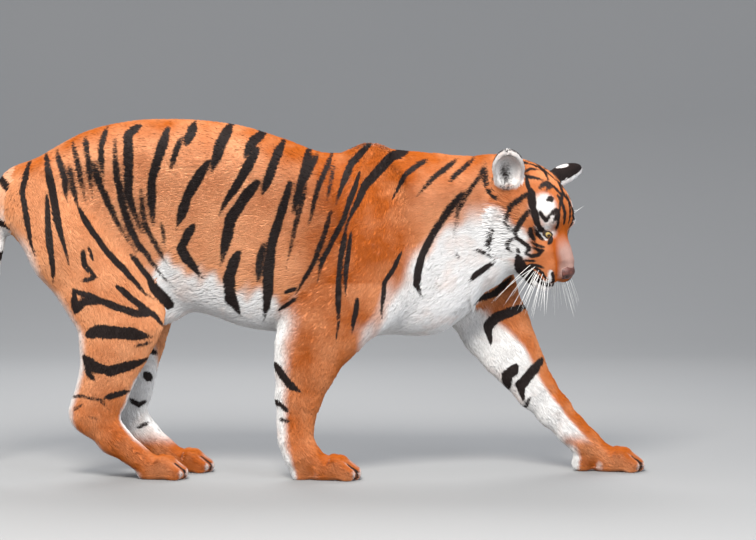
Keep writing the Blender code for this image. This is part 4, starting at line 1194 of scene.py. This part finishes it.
# -----------------------------------------------------------------------------------------------------------
# Coat: the tiger's short, close-lying hair. Each lock is a closed sliver of four faces that rises from its
# root, crests and runs on to a thin tip at the outline, the way the hair lies there. The locks are densest
# and smallest where the hair is short.
# -----------------------------------------------------------------------------------------------------------
COAT_PIECES = [  # name, parts, side (0 for both), number of locks, their length as a share of the hair's
    ("coat_flank_right", ("trunk",), -1, 49000, 0.65),
    ("coat_flank_left", ("trunk",), 1, 49000, 0.65),
    ("coat_neck", ("neck",), 0, 43000, 0.85),
    ("coat_head", ("head",), 0, 49500, 0.9),
    ("coat_ears", ("ear_right", "ear_left"), 0, 20000, 1.0),
    ("coat_tail", ("tail",), 0, 16000, 0.8),
    ("coat_foreleg_right", ("foreleg_right",), 0, 37000, 0.7),
    ("coat_foreleg_left", ("foreleg_left",), 0, 35000, 0.7),
    ("coat_hindleg_right", ("hindleg_right",), 0, 39000, 0.7),
    ("coat_hindleg_left", ("hindleg_left",), 0, 36000, 0.7),
]
CREST = 0.38            # where along a lock its back is highest
STRAY = 0.16            # how far a lock turns from the lie, in radians
FRAY = 0.09             # how far a lock's marks are drawn along it, as a share of its length
EYE_CLEAR = 0.10        # no hair grows or reaches nearer than this to the opening of an eye, in radians
EYE_FRONT = 0.010       # how far in front of the eye that holds
LOCK_WIDTH = 0.0004     # half width of the shortest locks, and how much of its length a longer one adds
LOCK_WIDENING = 0.065
ROOT_DEPTH = 0.0008     # how far a root is sunk under the skin
SOLE_BARE = 0.004       # no hair grows under the soles below this height
SLIVER = np.array([[0, 1, 3], [0, 3, 2], [1, 2, 3], [0, 2, 1]])  # faces of left, right, tip and crest
BAKE_PATCH = 0.0015     # half the size of a lock's patch on the map
chance = np.random.default_rng(20)


def unit(vectors):
    return vectors / np.maximum(np.linalg.norm(vectors, axis=1), 1e-9)[:, None]


LID_TILT = (-0.027, 0.032, 0.018)   # from the inner to the outer corner of an eye, in the head's frame
LID_OPENING = [math.radians(angle) for angle in (44, 21, 20)]  # half length, upper and lower half height


def eye_ball(side):
    """Centre and radius of one eye."""
    low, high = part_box("eye_" + side)
    return (low + high) / 2, (high.z - low.z) / 2


def eye_axes(side):
    """Gaze, the way to the outer corner, and up, for one eye."""
    aside = -1 if side == "right" else 1
    gaze = (HEAD_TURN @ Vector((0.88, aside * 0.47, 0.02))).normalized()
    out = HEAD_TURN @ Vector((LID_TILT[0], aside * LID_TILT[1], LID_TILT[2]))
    out = (out - gaze * out.dot(gaze)).normalized()
    up = gaze.cross(out)
    return gaze, out, up if up.dot(HEAD_TURN.col[2]) > 0 else -up


def over_eye(points):
    """Whether points lie in front of the opening of an eye or on the bare rim of its lids."""
    found = np.zeros(len(points), bool)
    long, above, below = LID_OPENING
    for side in ("right", "left"):
        gaze, out, up = (np.array(axis) for axis in eye_axes(side))
        centre, radius = eye_ball(side)
        off = points - np.array(centre)
        distance = np.linalg.norm(off, axis=1)
        climb = np.arcsin(np.clip(off @ up / np.maximum(distance, 1e-9), -1, 1))
        across = np.arctan2(off @ out, off @ gaze)
        tall = np.where(climb > 0, above, below)
        in_opening = np.hypot(across / (long + EYE_CLEAR), climb / (tall + EYE_CLEAR)) <= 1
        found |= (distance < radius + EYE_FRONT) & in_opening
    return found


NOSE_TOP, NOSE_FOOT = -0.014, -0.058        # heights of the nose leather in the head's frame
NOSE_HALF_WIDTHS = ([0.0, 0.15, 0.45, 0.72, 1.0], [0.014, 0.022, 0.0245, 0.013, 0.004])


def nose_half_width(down):
    """Half the leather's width, from 0 at its top to 1 at its foot."""
    at, widths = (np.array(v) for v in NOSE_HALF_WIDTHS)
    return smooth_between(at, widths, down)


def on_nose(points):
    """Whether points lie under the nose leather."""
    x, y, z = head_frame(points).T
    down = (NOSE_TOP - z) / (NOSE_TOP - NOSE_FOOT)
    return (x > 0.14) & (down > 0) & (down < 1) & (np.abs(y) < nose_half_width(np.clip(down, 0, 1)))


def box_map(points, outward):
    """A place on a map of six tiles, one for each way that the surface can face."""
    low, size = points.min(0), np.ptp(points, axis=0)
    share = (points - low) / size
    axis = np.abs(outward).argmax(1)
    behind = np.take_along_axis(outward, axis[:, None], 1)[:, 0] < 0
    u = np.choose(axis, (share[:, 1], share[:, 0], share[:, 0]))
    v = np.choose(axis, (share[:, 2], share[:, 2], share[:, 1]))
    margin = 0.02
    u = (axis + margin + (1 - 2 * margin) * u) / 3
    v = (behind + margin + (1 - 2 * margin) * v) / 2
    return np.stack([u, v], 1)


def coat_material():
    """Hair: the stripes' colours, darker at the root, each lock a little lighter or darker than the next."""
    finish = {"Specular IOR Level": 0.15, "Sheen Weight": 0.05, "Sheen Roughness": 0.5}
    material, tree, surface = new_material("tiger hair", 0.62, **finish)
    own_tone, along, _ = linked(tree, "ShaderNodeSeparateXYZ", {0: attribute(tree, "lock")}).outputs
    own_tone, along = ranged(tree, own_tone, 0, 1, 0.88, 1.12), ranged(tree, along, 0, 1, 0.80, 1.10)
    value = maths(tree, "MULTIPLY", own_tone, along)
    tinted = linked(tree, "ShaderNodeHueSaturation", {"Color": striped(tree, fray=0.35), "Value": value})
    tree.links.new(tinted.outputs[0], surface["Base Color"])
    lay = linked(tree, "ShaderNodeVectorMath", {0: attribute(tree, "lay"), 3: 1.6}, operation="SCALE")
    facet = linked(tree, "ShaderNodeNewGeometry").outputs["Normal"]
    both = linked(tree, "ShaderNodeVectorMath", {0: lay.outputs[0], 1: facet}, operation="ADD")
    normal = linked(tree, "ShaderNodeVectorMath", {0: both.outputs[0]}, operation="NORMALIZE")
    tree.links.new(normal.outputs[0], surface["Normal"])
    return material


corners = np.empty(len(skin_mesh.polygons) * 3, np.int32)
skin_mesh.polygons.foreach_get("vertices", corners)
corners = corners.reshape(-1, 3)
sides = skin_points[corners[:, 1:]] - skin_points[corners[:, :1]]
areas = np.linalg.norm(np.cross(sides[:, 0], sides[:, 1]), axis=1) / 2
crowding = areas / length[corners].mean(1) ** 2


def strewn(parts, side, count):
    """Roots strewn over the parts: the skin's faces they lie on, and their shares of its three corners."""
    wanted = is_part(part_number[corners[:, 0]], *parts)
    if side:
        wanted &= np.sign(skin_points[corners[:, 0], 1]) == side
    share = np.cumsum(crowding * wanted)
    face = np.searchsorted(share, chance.random(count) * share[-1])
    first, second = chance.random((2, count))
    first = np.sqrt(first)
    return face, np.stack([1 - first, first * (1 - second), first * second], 1)


def slivers(name, points):
    """A mesh of closed slivers from their left, right, tip and crest points."""
    mesh = bpy.data.meshes.new(name)
    mesh.vertices.add(4 * len(points))
    mesh.vertices.foreach_set("co", points.astype(np.float32).ravel())
    faces = (4 * np.arange(len(points))[:, None, None] + SLIVER).reshape(-1)
    mesh.loops.add(len(faces))
    mesh.loops.foreach_set("vertex_index", faces.astype(np.int32))
    mesh.polygons.add(len(faces) // 3)
    mesh.polygons.foreach_set("loop_start", np.arange(0, len(faces), 3, dtype=np.int32))
    mesh.update()
    mesh.shade_flat()
    return mesh


def locks(name, parts, side, count, cut):
    """One coat piece: roots strewn over its part of the skin, and a sliver on each."""
    face, weights = strewn(parts, side, count)

    def here(values):
        return np.einsum("nk,nk...->n...", weights, values[corners[face]])

    root, rim, normal = here(skin_points), here(outline), unit(here(outward))
    way = here(lie)
    way = unit(way - (way * normal).sum(1)[:, None] * normal)
    turn = chance.normal(0, STRAY, count)[:, None]
    aside = np.cross(normal, way)
    way, aside = way * np.cos(turn) + aside * np.sin(turn), aside * np.cos(turn) - way * np.sin(turn)
    reach = here(length) * cut * chance.uniform(0.75, 1.2, count)
    rise = here(depth) * SINK * chance.uniform(0.7, 1.1, count)
    half_width = (LOCK_WIDTH + LOCK_WIDENING * reach) * chance.uniform(0.8, 1.2, count)
    tip = root + way * reach[:, None] + normal * rise[:, None]
    crest = root + way * (CREST * reach)[:, None] + normal * (0.62 * rise + 0.45 * half_width)[:, None]
    sunk = root - normal * ROOT_DEPTH
    left, right = sunk + aside * half_width[:, None], sunk - aside * half_width[:, None]

    on_sole = (root[:, 2] < SOLE_BARE) & (normal[:, 2] < -0.4)
    keep = ~(over_eye(root) | over_eye(tip) | on_nose(root) | on_sole | (tip[:, 2] < FLOOR_GAP))
    total = int(keep.sum())
    mesh = slivers(name, np.stack([left, right, tip, crest], 1)[keep])

    shift = chance.normal(0, FRAY, count)
    number = part_number[corners[face, 0]]
    marks = np.empty((total, 4, 3))
    for vertices, share in (((0, 1), 0.0), ((3,), CREST), ((2,), 0.9)):
        there = rim + way * ((share + shift) * reach)[:, None]
        marks[:, vertices] = marks_at(there[keep], normal[keep], number[keep])[:, None]
    set_attribute(mesh, "marks", "FLOAT_VECTOR", marks)
    set_attribute(mesh, "lay", "FLOAT_VECTOR", np.repeat(normal[keep], 4, axis=0))
    tone = np.zeros((total, 4, 3))
    tone[:, :, 0] = chance.random(total)[:, None]
    tone[:, :, 1] = (0.0, 0.0, 1.0, CREST)
    set_attribute(mesh, "lock", "FLOAT_VECTOR", tone)
    spread = BAKE_PATCH * np.array([[-1, -1], [1, -1], [0, 1], [0, 0]])
    patch = box_map(root[keep], normal[keep])[:, None] + spread
    bake_map = mesh.uv_layers.new(name="OFBake")
    bake_map.uv.foreach_set("vector", patch[:, SLIVER.ravel()].astype(np.float32).ravel())
    return mesh


COAT = coat_material()
for name, *plan in COAT_PIECES:
    coat = painted_piece(name, locks(name, *plan), COAT)
    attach(coat, "root")


# -----------------------------------------------------------------------------------------------------------
# Eyes: a wet, glossy ball with a low cornea, an amber iris and a round pupil. It sits deep in its socket, in
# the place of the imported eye.
# -----------------------------------------------------------------------------------------------------------
EYE_RINGS, EYE_SPOKES = 40, 56
CORNEA = 0.09           # how far the cornea bulges, as a share of the eye's radius
CORNEA_WIDE = 0.42      # how far it reaches from the gaze, in radians


def smooth_mesh(name, form):
    """The mesh of a finished form, shaded smooth."""
    mesh = bpy.data.meshes.new(name)
    form.to_mesh(mesh)
    form.free()
    mesh.shade_smooth()
    return mesh


def ring_mesh(name, rings, close_start=False, close_end=False):
    """A mesh of rings of points joined to each other, with each end closed by a fan if asked."""
    form = bmesh.new()
    rows = [[form.verts.new(point) for point in ring] for ring in rings]
    for a, b in zip(rows, rows[1:]):
        for k in range(len(a)):
            form.faces.new((a[k - 1], a[k], b[k], b[k - 1]))
    for wanted, row in ((close_start, rows[0]), (close_end, rows[-1])):
        if wanted:
            middle = form.verts.new(sum((vert.co for vert in row), Vector()) / len(row))
            for k in range(len(row)):
                form.faces.new((row[k - 1], row[k], middle))
    bmesh.ops.recalc_face_normals(form, faces=form.faces)
    return smooth_mesh(name, form)


IRIS = [  # angle from the gaze in radians, and the colour there
    (0.00, (0.004, 0.004, 0.004, 1)),
    (0.20, (0.004, 0.004, 0.004, 1)),
    (0.23, (0.30, 0.19, 0.05, 1)),
    (0.42, (0.42, 0.30, 0.09, 1)),
    (0.56, (0.20, 0.13, 0.04, 1)),
    (0.62, (0.02, 0.012, 0.008, 1)),
    (0.80, (0.05, 0.03, 0.02, 1)),
]


def eye_material():
    """Black pupil, streaked amber iris with a dark edge, and dark rim, under a clear wet coat."""
    material, tree, surface = new_material("wet eye", 0.18, **{"Coat Weight": 1.0, "Coat Roughness": 0.03})
    streak = maths(tree, "MULTIPLY_ADD", noise(tree, 600.0), 0.08, -0.04)
    angle = maths(tree, "ADD", attribute(tree, "from_gaze", "Fac"), streak)
    ramp = linked(tree, "ShaderNodeValToRGB", {"Fac": angle})
    elements = ramp.color_ramp.elements
    while len(elements) < len(IRIS):
        elements.new(0.5)
    for element, (place, colour) in zip(elements, IRIS):
        element.position, element.color = place, colour
    tree.links.new(ramp.outputs[0], surface["Base Color"])
    return material


EYE = eye_material()
for side in ("right", "left"):
    gaze, out, up = eye_axes(side)
    centre, radius = eye_ball(side)
    spokes = [2 * math.pi * k / EYE_SPOKES for k in range(EYE_SPOKES)]
    rings, from_gaze = [], []
    for angle in math.pi * (np.arange(EYE_RINGS) + 0.5) / EYE_RINGS:
        reach = radius * (1 + CORNEA * math.exp(-((angle / CORNEA_WIDE) ** 2)))
        ring = []
        for spoke in spokes:
            aside = out * math.cos(spoke) + up * math.sin(spoke)
            ring.append(centre + (gaze * math.cos(angle) + aside * math.sin(angle)) * reach)
        rings.append(ring)
        from_gaze += [angle] * EYE_SPOKES
    eye_mesh = ring_mesh("eyeball_" + side, rings, close_start=True, close_end=True)
    set_attribute(eye_mesh, "from_gaze", "FLOAT", np.array(from_gaze + [0.0, math.pi]))
    eye = painted_piece("eyeball_" + side, eye_mesh, EYE)
    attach(eye, "root")
    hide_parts("eye_" + side)


# -----------------------------------------------------------------------------------------------------------
# Eyelids: a hairless black rim round the almond opening. Each pair is one sheet that rolls over the eyeball
# and runs on under the skin, where it is coloured as the face is.
# -----------------------------------------------------------------------------------------------------------
LID_SPOKES = 72
LID_ROWS = [  # angle beyond the opening, height over the eyeball in metres, share of the skin's own height
    (-0.02, -0.0012, 0),
    (0.00, 0.0006, 0),
    (0.03, 0.0018, 0),
    (0.08, 0.0024, 0),
    (0.15, 0.0026, 0),
    (0.25, 0.0024, 0.35),
    (0.38, 0.0016, 0.8),
    (0.52, 0.0004, 1),
    (0.70, -0.0030, 1),
]
LID_BLACK = 0.22        # how far the black of the rim reaches, in radians
SOCKET_REACH = 0.07     # the skin this near to the middle of an eye is what its lids run into


def lid_material():
    material, tree, surface = new_material("eyelid", 0.45)
    tree.links.new(striped(tree), surface["Base Color"])
    return material


def skin_distance(centre, way, near_skin):
    """How far the skin lies from the middle of an eye, along way."""
    hit = near_skin.ray_cast(centre, way)
    return hit[3] if hit[0] else 0.0


LID = lid_material()
for side in ("right", "left"):
    gaze, out, up = eye_axes(side)
    centre, radius = eye_ball(side)
    long, above, below = LID_OPENING
    close = np.linalg.norm(skin_points[corners[:, 0]] - np.array(centre), axis=1) < SOCKET_REACH
    near_skin = BVHTree.FromPolygons(skin_points.tolist(), corners[close].tolist())
    rings = []
    for beyond, height, blend in LID_ROWS:
        ring = []
        for k in range(LID_SPOKES):
            spoke = 2 * math.pi * k / LID_SPOKES
            tall = (above if math.sin(spoke) > 0 else below) + beyond
            across = (long + beyond) * math.cos(spoke)
            climb = tall * math.copysign(abs(math.sin(spoke)) ** 1.4, math.sin(spoke))
            way = gaze * math.cos(across) + out * math.sin(across)
            way = way * math.cos(climb) + up * math.sin(climb)
            over_ball = radius + height
            over_skin = max(skin_distance(centre, way, near_skin) + height, 0.8 * radius)
            ring.append(centre + way * (over_ball + (over_skin - over_ball) * blend))
        rings.append(ring)
    lid_mesh = ring_mesh("eyelids_" + side, rings)
    stripe, white, deep = head_marks(np.array(rings).reshape(-1, 3))
    rim = np.repeat([2 * (LID_BLACK - row[0]) / LID_BLACK for row in LID_ROWS], LID_SPOKES)
    marks = np.stack([np.maximum(100 * stripe, rim), white, deep], 1)
    set_attribute(lid_mesh, "marks", "FLOAT_VECTOR", marks)
    lids = painted_piece("eyelids_" + side, lid_mesh, LID)
    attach(lids, "root")


# -----------------------------------------------------------------------------------------------------------
# Nose leather: a rounded triangle of bare, pebbled skin on the tip of the muzzle, dark and a little pink,
# with two comma-shaped nostrils. It is laid on the muzzle's own form, and its back lies under the skin.
# -----------------------------------------------------------------------------------------------------------
NOSE_ROWS, NOSE_COLUMNS = 45, 57
NOSE_THICK = 0.0024
NOSTRIL_DEEP = 0.0030
NOSE_ROOTED = 0.012     # how far its back lies behind its front
NOSE_START = 0.205      # how far in front of the head the leather is lowered from, and in what steps
NOSE_STEP, NOSE_STEPS = 0.0005, 200


def nostrils(across, down):
    """How far into a nostril a place on the leather lies, from 0 to 1."""
    side = np.abs(across)
    hole = np.exp(-(((side - 0.50) / 0.21) ** 2 + ((down - 0.50) / 0.12) ** 2))
    slit = np.exp(-(((side - 0.80) / 0.22) ** 2 + ((down - 0.60 - 0.25 * (side - 0.5)) / 0.05) ** 2))
    return np.maximum(hole, 0.8 * slit)


def lowered(places):
    """Places of the head's frame, moved back along the muzzle until they touch it."""
    places = places.copy()
    free = np.ones(len(places), bool)
    turn, origin = np.array(HEAD_TURN).T, np.array(HEAD_AT)
    for _ in range(NOSE_STEPS):
        free[free] = field(places[free] @ turn + origin) > 0
        places[free, 0] -= NOSE_STEP
    return places


def nose_material():
    """Dark pink leather, a little lighter in clouds, with fine pebbles, and painted shade that darkens the
    shallow nostrils to near black.
    """
    material, tree, surface = new_material("nose leather", 0.42)
    cloud = ranged(tree, noise(tree, 120.0, 3.0), 0.35, 0.65)
    leather = mixed(tree, cloud, (0.055, 0.017, 0.013, 1), (0.12, 0.04, 0.03, 1))
    # painted shade in the nostrils, which are dented too shallow to darken by themselves
    hole = mixed(tree, attribute(tree, "nostril", "Fac"), leather, (0.012, 0.006, 0.005, 1))
    tree.links.new(hole, surface["Base Color"])
    place = linked(tree, "ShaderNodeTexCoord").outputs["Object"]
    pebble = linked(tree, "ShaderNodeTexVoronoi", {"Vector": place, "Scale": 900.0})
    tree.links.new(bumped(tree, pebble.outputs[0], 0.35, 0.0006), surface["Normal"])
    return material


down, across = np.meshgrid(np.linspace(0, 1, NOSE_ROWS), np.linspace(-1, 1, NOSE_COLUMNS), indexing="ij")
down, across = down.ravel(), across.ravel()
height = NOSE_TOP + down * (NOSE_FOOT - NOSE_TOP)
front = lowered(np.stack([np.full(len(down), NOSE_START), across * nose_half_width(down), height], 1))
swell = np.minimum(1, 3 * (1 - np.abs(across))) * np.minimum(1, 5 * down) * np.minimum(1, 5 * (1 - down))
hole = nostrils(across, down)
back = front - np.array([NOSE_ROOTED, 0, 0])
front[:, 0] += NOSE_THICK * (np.sqrt(np.maximum(swell, 0)) - 0.15) - NOSTRIL_DEEP * hole
form = bmesh.new()
layers = [[form.verts.new(on_head(place) + SHIFT) for place in layer] for layer in (front, back)]
number = np.arange(NOSE_ROWS * NOSE_COLUMNS).reshape(NOSE_ROWS, NOSE_COLUMNS)
cell_corners = (number[:-1, :-1], number[:-1, 1:], number[1:, 1:], number[1:, :-1])
for layer in layers:
    for cell in zip(*(corner.ravel() for corner in cell_corners)):
        form.faces.new([layer[k] for k in cell])
border = np.concatenate([number[0, :-1], number[:-1, -1], number[-1, :0:-1], number[:0:-1, 0]])
for a, b in zip(border, np.roll(border, -1)):
    form.faces.new([layers[0][a], layers[0][b], layers[1][b], layers[1][a]])
bmesh.ops.recalc_face_normals(form, faces=form.faces)
nose_mesh = smooth_mesh("nose_leather", form)
# how far each point lies in the painted shade of a nostril; the back layer has none
nostril = np.concatenate([smoothly(0.25, 0.7, hole), np.zeros(len(hole))])
set_attribute(nose_mesh, "nostril", "FLOAT", nostril)
nose_leather = painted_piece("nose_leather", nose_mesh, nose_material())
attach(nose_leather, "root")
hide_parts("nose")


# -----------------------------------------------------------------------------------------------------------
# Whiskers and claws: tapered strands along curves. One node tree draws both, thin and long for the whiskers
# of the pads and brows, short and thick for the claws between the toes.
# -----------------------------------------------------------------------------------------------------------
def tapered_strands():
    """Each line of the input becomes a round strand that thins to its end."""
    tree = bpy.data.node_groups.new("Tapered strands", "GeometryNodeTree")
    for name, kind in (
        ("Geometry", "NodeSocketGeometry"),
        ("Root radius", "NodeSocketFloat"),
        ("Sides", "NodeSocketInt"),
        ("Material", "NodeSocketMaterial"),
    ):
        tree.interface.new_socket(name, in_out="INPUT", socket_type=kind)
    tree.interface.new_socket("Geometry", in_out="OUTPUT", socket_type="NodeSocketGeometry")
    start, end = linked(tree, "NodeGroupInput"), linked(tree, "NodeGroupOutput")
    curve = linked(tree, "GeometryNodeMeshToCurve", {"Mesh": start.outputs["Geometry"]})
    along = linked(tree, "GeometryNodeSplineParameter")
    thin = maths(tree, "POWER", maths(tree, "SUBTRACT", 1.04, along.outputs["Factor"]), 0.75)
    size = maths(tree, "MULTIPLY", thin, start.outputs["Root radius"])
    circle = {"Resolution": start.outputs["Sides"], "Radius": 1.0}
    section = linked(tree, "GeometryNodeCurvePrimitiveCircle", circle).outputs[0]
    sweep = {"Curve": curve.outputs[0], "Profile Curve": section, "Scale": size, "Fill Caps": True}
    strand = linked(tree, "GeometryNodeCurveToMesh", sweep)
    smooth = linked(tree, "GeometryNodeSetShadeSmooth", {"Geometry": strand.outputs[0]})
    real = linked(tree, "GeometryNodeRealizeInstances", {"Geometry": smooth.outputs[0]})
    paint = {"Geometry": real.outputs[0], "Material": start.outputs["Material"]}
    painted = linked(tree, "GeometryNodeSetMaterial", paint)
    tree.links.new(painted.outputs[0], end.inputs["Geometry"])
    return tree


STRANDS = tapered_strands()


def strands(name, paths, root_radius, sides, material):
    """A plain mesh of one strand for each path of points."""
    lines = bpy.data.meshes.new(name + "_lines")
    points = [point for path in paths for point in path]
    edges, first = [], 0
    for path in paths:
        edges += [(first + k, first + k + 1) for k in range(len(path) - 1)]
        first += len(path)
    lines.from_pydata(points, edges, [])
    helper = added(name + "_lines", lines)
    modifier = helper.modifiers.new("strands", "NODES")
    modifier.node_group = STRANDS
    values = {"Root radius": root_radius, "Sides": sides, "Material": material}
    for item in STRANDS.interface.items_tree:
        if item.in_out == "INPUT" and item.name in values:
            modifier[item.identifier] = values[item.name]
    graph = bpy.context.evaluated_depsgraph_get()
    mesh = bpy.data.meshes.new_from_object(helper.evaluated_get(graph))
    mesh.name = name
    bpy.data.objects.remove(helper)
    piece = added(name, mesh)
    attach(piece, "root")
    return piece


def whisker(root, way, reach, sag, points=10):
    """A stiff hair from its root, bending down under its weight."""
    steps = [k / (points - 1) for k in range(points)]
    return [root + way * reach * s + Vector((0, 0, -sag)) * s * s for s in steps]


def cloudy_material(name, roughness, scale, detail, dark, light):
    """A colour that drifts from dark to light over the piece."""
    material, tree, surface = new_material(name, roughness)
    tree.links.new(mixed(tree, noise(tree, scale, detail), (*dark, 1), (*light, 1)), surface["Base Color"])
    return material


WHISKER = cloudy_material("whisker", 0.35, 40.0, 2.0, (0.78, 0.77, 0.74), (0.90, 0.89, 0.87))
CLAW = cloudy_material("claw horn", 0.3, 220.0, 3.0, (0.10, 0.075, 0.06), (0.30, 0.26, 0.22))
WHISKER_RADIUS, CLAW_RADIUS = 0.0006, 0.0034  # at the root
WHISKER_ROWS = [  # four rows on each pad: first and last root, in the head's frame
    ((0.106, 0.062, -0.060), (0.157, 0.042, -0.044)),
    ((0.107, 0.060, -0.068), (0.160, 0.042, -0.053)),
    ((0.110, 0.056, -0.076), (0.160, 0.042, -0.062)),
    ((0.114, 0.050, -0.084), (0.154, 0.040, -0.072)),
]
WHISKERS_IN_ROW = 5
WHISKER_REACH = (0.085, 0.135)  # shortest and longest at the back of a row; they are a third shorter in front
WHISKER_DROOP, BROW_DROOP = 0.02, 0.006
whisker_paths = []
for aside in (-1, 1):
    for row, (first, last) in enumerate(WHISKER_ROWS):
        for k in range(WHISKERS_IN_ROW):
            share = (k + 0.5 * (row % 2)) / WHISKERS_IN_ROW
            x, y, z = Vector(first).lerp(Vector(last), share)
            fan = 0.75 * share - 0.45 + chance.uniform(-0.08, 0.08)
            spread = aside * (0.50 - 0.06 * row + chance.uniform(-0.05, 0.05))
            way = (HEAD_TURN @ Vector((fan, spread, 0)) + Vector((0, 0, -0.72))).normalized()
            reach = chance.uniform(*WHISKER_REACH) * (1.0 - 0.35 * share)
            root = on_head((x, aside * (y - 0.005), z)) + SHIFT
            whisker_paths.append(whisker(root, way, reach, WHISKER_DROOP))
    for k in range(2):
        root = on_head((0.050 + 0.008 * k, aside * (0.046 + 0.008 * k), 0.056)) + SHIFT
        way = (HEAD_TURN @ Vector((0.2 - 0.3 * k, aside * 0.55, 0.8))).normalized()
        whisker_paths.append(whisker(root, way, 0.034 + 0.01 * k, BROW_DROOP))
whiskers = strands("whiskers", whisker_paths, WHISKER_RADIUS, 6, WHISKER)

CLAW_ROOT = Vector((0.006, 0, 0.006))  # from the tip of a toe
CLAW_STEP, CLAW_HOOK = 0.0042, 0.0004  # forward from point to point, and how the claw curves down
claw_paths = []
for tip in toe_tips:
    root = Vector(tip) + SHIFT + CLAW_ROOT
    claw_paths.append([root + Vector((CLAW_STEP * k, 0, -0.0002 * k - CLAW_HOOK * k * k)) for k in range(5)])
claws = strands("claws", claw_paths, CLAW_RADIUS, 10, CLAW)


# -----------------------------------------------------------------------------------------------------------
# Studio: a pale floor that runs up into a pale wall, one large soft light from the front and above, a
# weaker one from behind, and the camera level with her flank.
# -----------------------------------------------------------------------------------------------------------
FLOOR_HALF, WALL_AT, WALL_HIGH = 14.0, 7.0, 9.0
SWEEP, SWEEP_STEPS = 3.0, 12  # radius of the bend from floor to wall


def stage_material():
    """Paper that is clear from its back, so that the tiger is seen from that side too."""
    paper = (0.25, 0.253, 0.257), (0.275, 0.275, 0.275)
    material = cloudy_material("pale studio paper", 0.9, 0.6, 2.0, *paper)
    tree = material.node_tree
    behind = linked(tree, "ShaderNodeNewGeometry").outputs["Backfacing"]
    front = tree.nodes["Principled BSDF"].outputs[0]
    clear = linked(tree, "ShaderNodeBsdfTransparent").outputs[0]
    sheet = linked(tree, "ShaderNodeMixShader", {0: behind, 1: front, 2: clear})
    tree.links.new(sheet.outputs[0], tree.nodes["Material Output"].inputs["Surface"])
    return material


profile = [(-FLOOR_HALF, 0.0)]
for step in range(SWEEP_STEPS + 1):
    angle = math.radians(90) * step / SWEEP_STEPS
    profile.append((WALL_AT - SWEEP + SWEEP * math.sin(angle), SWEEP * (1 - math.cos(angle))))
profile.append((WALL_AT, WALL_HIGH))
form = bmesh.new()
rows = [[form.verts.new((x, y, z)) for x in (-FLOOR_HALF, FLOOR_HALF)] for y, z in profile]
for (a, b), (c, d) in zip(rows, rows[1:]):
    form.faces.new((a, b, d, c))
stage_mesh = smooth_mesh("studio_floor", form)
painted_piece("studio_floor", stage_mesh, stage_material())


def soft_light(name, place, target, size, power, colour=(1, 1, 1)):
    lamp = bpy.data.lights.new(name, "AREA")
    lamp.shape, lamp.size, lamp.energy, lamp.color = "DISK", size, power, colour
    light = added(name, lamp)
    light.location = place
    light.rotation_euler = (Vector(target) - Vector(place)).to_track_quat("-Z", "Y").to_euler()


# place, target, width in metres, power in watts, colour
soft_light("key", (-0.4, -4.3, 3.7), (0.1, 0, 0.5), 1.8, 500, (1, 0.96, 0.90))
soft_light("front", (2.8, -4.0, 1.8), (0.5, 0, 0.5), 2.4, 110, (0.92, 0.96, 1))
soft_light("back", (-0.5, 3.2, 3.6), (0, 0, 0.6), 3.0, 180)

world = bpy.data.worlds.new("studio air")
bpy.context.scene.world = world
world.use_nodes = True
air = world.node_tree.nodes["Background"].inputs
air["Color"].default_value = (0.86, 0.91, 1.0, 1)
air["Strength"].default_value = 0.72
bpy.context.scene.view_settings.view_transform = "Standard"

SEEN_WIDTH = 1.928      # metres across the picture, at the middle of the body
CAMERA_AWAY = 9.0
CAMERA_TILT = math.radians(3)
CAMERA_TARGET = (0.199, 0, 0.525)  # at the middle of the picture, where the forms stand
camera_target = Vector(CAMERA_TARGET) + SHIFT
back_way = Vector((0, -math.cos(CAMERA_TILT), math.sin(CAMERA_TILT)))
lens = bpy.data.cameras.new("camera")
lens.lens = lens.sensor_width * CAMERA_AWAY / SEEN_WIDTH
camera = added("camera", lens)
camera.location = camera_target + back_way * CAMERA_AWAY
camera.rotation_euler = (-back_way).to_track_quat("-Z", "Y").to_euler()
bpy.context.scene.camera = camera
